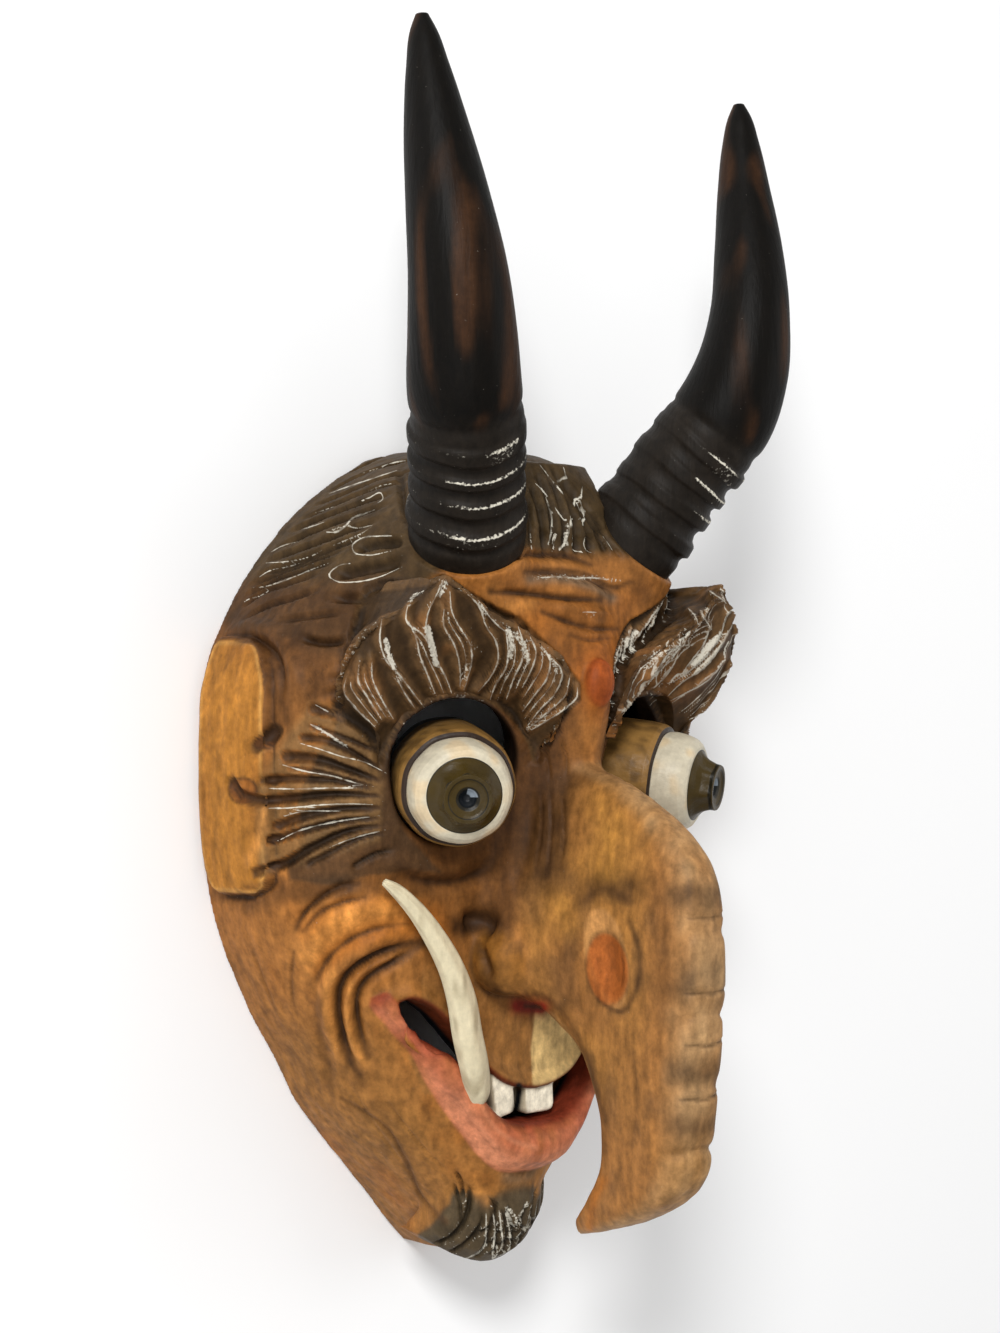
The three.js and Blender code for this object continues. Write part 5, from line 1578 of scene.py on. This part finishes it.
def wood_material(name, grain, roughness, gloss, grain_scale, tooled, lined=False):
    """Painted wood: colour and wear from the mesh, with fine grain along Y."""
    stuff = bpy.data.materials.new(name)
    made = Nodes(stuff)
    made.shader.inputs["Roughness"].default_value = roughness
    made.shader.inputs["Specular IOR Level"].default_value = gloss
    paint = made.add("VertexColor", {}, layer_name="paint").outputs["Color"]
    place = made.add("TexCoord", {}).outputs["Object"]
    stretched = made.add("Mapping", {"Vector": place, "Scale": grain_scale}).outputs["Vector"]
    streaks = made.noise(stretched, 1.0, 5, 0.6)
    paint = made.scale(paint, made.ramp(streaks, 0.3, 0.7, 1 - grain, 1 + grain * 0.5, "LINEAR"))
    blots = made.noise(place, 260, 8, 0.7)
    paint = made.scale(paint, made.ramp(blots, 0.36, 0.62, 1 - 0.8 * grain, 1.06, "LINEAR"))
    flecks = made.math("MULTIPLY_ADD", made.noise(place, 900, 3), 1.6, -0.8)
    white = made.ramp(made.math("ADD", made.attribute("wear"), flecks), 0.35, 0.8)
    if lined:
        white = made.math("MAXIMUM", line_cover(made, place), white)
    colours = {"Factor": white, "A": paint, "B": (*linear("white"), 1)}
    mixed = made.add("Mix", colours, data_type="RGBA").outputs["Result"]
    made.links.new(mixed, made.shader.inputs["Base Color"])
    fine = made.add("Bump", {"Strength": 0.46, "Distance": GRAIN_BUMP, "Height": streaks})
    facets = made.add("TexVoronoi", {"Vector": stretched, "Scale": 0.62}).outputs["Distance"]
    cut = {"Strength": tooled, "Distance": TOOL_BUMP, "Height": facets, "Normal": fine.outputs["Normal"]}
    made.links.new(made.add("Bump", cut).outputs["Normal"], made.shader.inputs["Normal"])
    return stuff


def line_cover(made, place):
    """Cover of thin dry-brushed lines."""
    ragged = made.math("MULTIPLY", made.noise(place, 420, 4), 2.6)
    away = made.math("ADD", made.math("ABSOLUTE", made.attribute("line_side")), ragged)
    close = made.ramp(made.attribute("line_gap"), 2.2, 1.7)
    line = made.math("MULTIPLY", made.ramp(away, 2.5, 1.6), close)
    worn = made.ramp(made.noise(place, 190, 3), 0.32, 0.6)
    worn = made.math("ADD", made.math("MULTIPLY", worn, 0.72), 0.14)
    return made.math("MULTIPLY", line, worn)


FACE_WOOD = wood_material("painted_face", 0.33, 0.55, 0.12, (260, 110, 260), 0.35, lined=True)
HORN_WOOD = wood_material("stained_horn", 0.3, 0.5, 0.1, (420, 60, 420), 0.1)
TUSK_WOOD = wood_material("cream_wood", 0.1, 0.5, 0.15, (420, 60, 420), 0.15)
EYE_WOOD = wood_material("painted_eye", 0.1, 0.4, 0.25, (500, 500, 90), 0.1)


def white_lines(groups):
    """Signed distance from each point to the nearest white line, in its half widths."""
    side = np.full(len(groups["pixels"]), NO_LINE)
    between = with_between(BROW_RIDGES)
    near, far = groups["facing"] > 0.3, groups["far"]
    sets = [
        ("pixels", WHITE_LINES, 1 - groups["brow"], near),
        ("pixels", [(line, 1.35) for line in BROW_RIDGES], groups["brow"], near),
        ("pixels", [(line, 0.85) for line in between], groups["brow"], near),
        ("straight", [(line, 1.3) for line in FAR_BROW_RIDGES], groups["brow"], far),
    ]
    for place, lines, region, seen in sets:
        for line, half in lines:
            at, gap, share = line_gap(groups[place], line, NO_LINE)
            taper = np.clip(np.minimum((share + 0.06) / 0.22, (1.08 - share) / 0.3), 0.25, 1)
            gap = gap / (LINE_WIDTH * half * taper)
            closer = (region[at] > 0.4) & seen[at] & (np.abs(gap) < np.abs(side[at]))
            side[at[closer]] = gap[closer]
    return np.clip(side, -NO_LINE, NO_LINE)


def face_pieces():
    """The carved and painted face, with painted shade in its hollows and worn ridges."""
    points, quads, normals, wear = build_face()
    ridge, wide, depth, inner, flutes = wear.values()
    paint, groups = face_paint(points, normals, inner, flutes)
    groups["far"] = (points[:, 0] > 0) & (normals @ CAMERA_BACK > 0)
    hairy = np.maximum.reduce([groups["brow"], groups["beard"], groups["hair"] * 0.85,
                               groups["temple"] * 0.9])
    # Painted shade in the hollows: from the surface's curvature, and from the depth of the cuts in the hair,
    # beard and brows
    hollow = smooth_step(0.015, 0.14, -ridge) * 0.6 + smooth_step(0.008, 0.06, -wide) * 0.5
    hollow = np.maximum(hollow, hairy * (1 - groups["brow"]) * smooth_step(0.6, 2.4, depth) * 0.9)
    hollow = np.maximum(hollow, groups["brow"] * smooth_step(1.9, 2.9, depth) * 0.75)
    hollow *= 1 - 0.65 * groups["lip"]
    paint = lay_paint(paint, "stain_and_shade", np.where(hairy > 0.5, 0, hollow * 0.9))
    paint = paint * (1 - 0.72 * hollow * hairy)[:, None]
    side = white_lines(groups)
    patches = np.zeros(len(points))
    for line, half, strength in WHITE_PATCHES:
        at, gap, _ = line_gap(groups["pixels"], line, half * 2)
        amount = strength * smooth_step(half * 1.3, half * 0.3, np.abs(gap)) * (groups["facing"][at] > 0.2)
        patches[at] = np.maximum(patches[at], amount)
    # Worn ridges: the hair that the drawn lines don't reach, the beard and the brows
    hidden = hairy * (1 - groups["facing"])
    worn = ((0.08, 0.22, hidden, 0.5), (0.06, 0.2, groups["beard"], 0.45), (0.1, 0.24, groups["brow"], 0.35))
    for low, high, region, strength in worn:
        patches = np.maximum(patches, smooth_step(low, high, ridge) * region * strength)
    patches *= 1 - inner
    values = {"wear": patches, "line_side": side, "line_gap": np.abs(side)}
    return split_face(points, quads, normals, paint, values)


def split_face(points, quads, normals, paint, values):
    """The face as several meshes from chin to crown, each under FACE_LIMIT triangles, with shared normals.
    """
    order = np.argsort(points[quads].mean(1)[:, 1], kind="stable")
    parts = int(math.ceil(2 * len(quads) / FACE_LIMIT))
    pieces = []
    for number, chosen in enumerate(np.array_split(order, parts), 1):
        used, faces = np.unique(quads[chosen], return_inverse=True)
        name = "carved_face_%d" % number
        mesh = new_mesh(name, to_row(points[used]), faces.reshape(-1, 4))
        set_paint(mesh, paint[used])
        for label, field in values.items():
            set_values(mesh, label, field[used])
        mesh.normals_split_custom_set_from_vertices(normals[used].tolist())
        mesh.materials.append(FACE_WOOD)
        pieces.append(add_object(name, mesh))
    print("face", len(quads) * 2, "triangles in", parts)
    return pieces


def run_along(path):
    """Length along a path at each of its points."""
    return np.r_[0, np.cumsum(np.linalg.norm(np.diff(path[:, :3], axis=0), axis=1))]


def ring_wave(a):
    """Unevenness of a collar around the horn."""
    return 0.5 * np.sin(2 * a + 1.1) + 0.3 * np.sin(5 * a)


def with_ends(values, ends=(0, 0)):
    """Values of a lofted surface, row by row, and those of its two end points."""
    return np.append(values.ravel(), ends)


def ring_lift(path, a):
    """Raised collars around the horn's foot, fading on its inner side."""
    run = run_along(path)
    lift = np.zeros((len(run), len(a)))
    outer = 0.62 + 0.38 * np.cos(a - OUTER_SIDE)
    wave = ring_wave(a)
    for n in range(RING_COUNT):
        at = RING_START + n * RING_PITCH
        place = run[:, None] - at - wave[None, :]
        collar = smooth_step(-0.2, 0.9, place) * smooth_step(RING_WIDTH + 1.6, RING_WIDTH - 0.4, place)
        lift += collar * (RING_RISE * outer)[None, :]
        lift -= 0.9 * np.exp(-((place + 2.2) / 2.0) ** 2) * outer[None, :]
    lift -= 0.8 * np.exp(-((run[:, None] - RING_END - 1.5) / 2.2) ** 2)
    return lift


def shell_piece(name, rings):
    points, quads, tris = loft(rings)
    mesh = new_mesh(name, to_row(points), quads, tris)
    return add_object(name, mesh), points


def finished(piece, paint, wear, wood):
    set_paint(piece.data, paint)
    set_values(piece.data, "wear", wear)
    piece.data.materials.append(wood)
    return piece


def horn_piece(side, name):
    rings, path, a = sweep_rings(HORN_LINE[name], 300, 72, ring_lift)
    rings = mirror(rings, side)
    piece, points = shell_piece("carved_horn_" + name, rings)
    run = run_along(path)
    along = with_ends(np.repeat(run, len(a)), (run[0], run[-1]))
    streak = value_noise(points, (7, 60, 7), 21 + side)
    fine = value_noise(points, (1.6, 14, 1.6), 23)
    patch = value_noise(points, (14, 30, 14), 25)
    paint = np.tile(linear("horn"), (len(points), 1))
    plain = smooth_step(RING_END - 2, RING_END + 8, along)
    paint = lay_paint(paint, "horn_warm", plain * smooth_step(0.5, 0.85, streak) * 0.85)
    paint = lay_paint(paint, "horn_ring", (1 - plain) * (0.45 + 0.45 * patch))
    paint *= (0.8 + 0.35 * fine)[:, None]
    wave = with_ends(np.tile(ring_wave(a), len(run)))
    outer = with_ends(np.tile(0.5 + 0.5 * np.cos(a - OUTER_SIDE), len(run)))
    white = np.zeros(len(points))
    for n in range(RING_COUNT):
        top = RING_START + n * RING_PITCH + RING_WIDTH - 0.3
        above = along - top - wave
        line = np.exp(-(above / 0.6) ** 2) * 0.8 * (0.2 + 0.9 * smooth_step(0.3, 0.7, patch))
        body = smooth_step(-0.5, 1, above + RING_WIDTH) * smooth_step(1, -0.5, above)
        heavy = (0.55 if n == RING_COUNT - 1 else 0.22) * smooth_step(0.45, 0.8, patch)
        white = np.maximum(white, line * smooth_step(0.02, 0.35, outer))
        white = np.maximum(white, body * heavy * outer)
    return finished(piece, paint, white, HORN_WOOD)


def tusk_facets(path, a):
    """Knife facets along the tusk."""
    return 0.18 * np.cos(7 * a)[None, :] * np.ones((len(path), 1))


def tusk_piece(side, name):
    rings = sweep_rings(TUSK_LINE[name], 120, 35, tusk_facets)[0]
    piece, points = shell_piece("carved_tusk_" + name, mirror(rings, side))
    stain_and_shade = value_noise(points, (3, 14, 3), 31)
    paint = np.tile(linear("cream"), (len(points), 1))
    paint = lay_paint(paint, "cream_dark", smooth_step(0.45, 0.9, stain_and_shade) * 0.6)
    return finished(piece, paint, np.zeros(len(points)), TUSK_WOOD)


# Eye profile: distance along the axis, radius and paint
EYE_PROFILE = [
    (-12, 20, "sleeve_dark"), (-12, 22.2, "sleeve_dark"), (-4, 22.6, "sleeve_dark"), (8, 23, "sleeve"),
    (16, 22.9, "sleeve"), (21.5, 22.4, "sleeve"), (23.4, 21.6, "sleeve"), (24, 20.6, "sleeve_dark"),
    (24.1, 19.5, "sleeve_dark"), (24.6, 19.7, "eye_white"), (27, 19.9, "eye_white"), (30, 19.6, "eye_white"),
    (33, 19, "eye_white"), (35.5, 18.1, "eye_white"), (37.2, 16.8, "eye_white"), (38, 15.4, "eye_white"),
    (38.2, 14.3, "eye_white"), (38.2, 14, "iris_dark"), (40, 12.3, "iris"), (42, 10.8, "iris"),
    (45, 9.6, "iris"), (46.6, 9.3, "iris_dark"), (47, 9, "iris"), (46.9, 7.6, "iris"),
    (46.6, 7.2, "iris_dark"), (46.2, 6.4, "iris"), (46, 4.6, "iris"), (45.4, 3.5, "iris_dark"),
    (44.4, 2.8, "pupil_and_gap_shade"), (43, 1.2, "pupil_and_gap_shade"),
]


def eye_piece(side, name):
    profile = np.array([[p[0], p[1]] for p in EYE_PROFILE], float)
    keys = np.r_[0, np.cumsum(np.hypot(np.diff(profile[:, 0]), np.diff(profile[:, 1])))]
    at = np.unique(np.r_[keys, np.linspace(0, keys[-1], 160)])
    along = np.interp(at, keys, profile[:, 0])
    radius = np.interp(at, keys, profile[:, 1])
    which = np.clip(np.searchsorted(keys, at, side="left"), 0, len(keys) - 1)
    a = np.linspace(0, 2 * np.pi, 96, endpoint=False)
    axis = unit(mirror(EYE_AXIS, side))
    up = unit(np.array([0, 1, 0]) - axis * axis[1])
    across = np.cross(up, axis)
    seat = mirror(EYE_SEAT, side)
    scallop = np.abs(np.sin(3.5 * a + 0.6)) ** 1.5
    waist = smooth_step(38.4, 41, along) * smooth_step(47.2, 45, along) * (radius > 8.5)
    wide = radius[:, None] - 1.1 * waist[:, None] * scallop[None, :]
    wide = wide + 0.12 * np.sin(9 * a + 2)[None, :] * (along < 38)[:, None]
    ring = np.cos(a)[None, :, None] * across + np.sin(a)[None, :, None] * up
    rings = seat + along[:, None, None] * axis + ring * wide[..., None]
    piece, points = shell_piece("turned_eye_" + name, rings)
    colours = np.array([linear(EYE_PROFILE[k][2]) for k in which])
    paint = np.repeat(colours, len(a), axis=0)
    paint = np.r_[paint, [colours[0]], [linear("pupil_and_gap_shade")]]
    mottle = value_noise(points, 5.0, 41)
    ball = with_ends(np.repeat((along > 24.5) & (along < 38.2), len(a)))
    paint = lay_paint(paint, "eye_tan", ball * smooth_step(0.45, 0.8, mottle) * 0.7)
    sleeve = with_ends(np.repeat(along < 24.3, len(a)))
    streak = value_noise(points, (2.2, 2.2, 9), 43)
    paint = lay_paint(paint, "sleeve_dark", sleeve * smooth_step(0.4, 0.8, streak) * 0.45)
    well = np.outer((radius < 3.6) & (radius > 1.4) & (along < 45.6), np.cos(a - 0.9) > 0.75)
    paint = lay_paint(paint, "glint", with_ends(well) * 0.8)
    paint = paint * (0.82 + 0.3 * mottle)[:, None]
    return finished(piece, paint, np.zeros(len(points)), EYE_WOOD)


def place_piece(piece, node):
    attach(piece, "root")
    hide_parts(node)


# Studio: half the floor's width, lights with place, diameter and watts, their aim, and the sky
FLOOR_HALF = 6.0
LIGHTS = [
    ("key", (-1.35, 1.0, 1.5), 0.6, 38),
    ("fill", (-1.3, -0.7, 1.3), 1.2, 6),
    ("side", (1.3, 0.3, 1.2), 1.2, 5),
]
LIGHT_AIM = (0, 0, 0.05)
SKY_STRENGTH = 0.5


def plain_material(name, colour, roughness):
    stuff = bpy.data.materials.new(name)
    stuff.use_nodes = True
    shader = stuff.node_tree.nodes["Principled BSDF"]
    shader.inputs["Base Color"].default_value = (*linear(colour), 1)
    shader.inputs["Roughness"].default_value = roughness
    return stuff


def add_floor():
    corners = [(-1, -1, 0), (1, -1, 0), (1, 1, 0), (-1, 1, 0)]
    mesh = new_mesh("floor", np.array(corners) * FLOOR_HALF, np.array([[0, 1, 2, 3]]))
    floor = add_object("floor", mesh)
    floor.data.materials.append(plain_material("floor_paper", "floor", 0.9))


def add_light(name, place, size, power):
    lamp = bpy.data.lights.new(name, "AREA")
    lamp.shape = "DISK"
    lamp.size = size
    lamp.energy = power
    light = bpy.data.objects.new(name, lamp)
    light.location = place
    light.rotation_euler = (Vector(LIGHT_AIM) - Vector(place)).to_track_quat("-Z", "Y").to_euler()
    bpy.context.scene.collection.objects.link(light)


def add_studio():
    add_floor()
    for light in LIGHTS:
        add_light(*light)
    world = bpy.data.worlds.new("studio")
    world.use_nodes = True
    sky = world.node_tree.nodes["Background"].inputs
    sky["Color"].default_value = (1, 1, 1, 1)
    sky["Strength"].default_value = SKY_STRENGTH
    bpy.context.scene.world = world
    bpy.context.scene.view_settings.view_transform = "Standard"


def add_camera():
    lens = bpy.data.cameras.new("photo_camera")
    lens.sensor_fit = "VERTICAL"
    lens.sensor_height = SENSOR
    lens.lens = FOCAL_PIXELS / PHOTO_HEIGHT * SENSOR
    camera = bpy.data.objects.new("photo_camera", lens)
    camera.location = Vector(to_row(CAMERA_PLACE))
    turn = Matrix([CAMERA_RIGHT, [0, 1, 0], CAMERA_BACK]).transposed()
    camera.rotation_euler = turn.to_euler()
    bpy.context.scene.collection.objects.link(camera)
    bpy.context.scene.camera = camera


def main():
    add_camera()
    for piece in face_pieces():
        place_piece(piece, "mask_face")
    for side, name in ((-1, "right"), (1, "left")):
        place_piece(horn_piece(side, name), "horn_" + name)
        place_piece(tusk_piece(side, name), "tusk_" + name)
        place_piece(eye_piece(side, name), "eye_" + name)
    add_studio()


main()
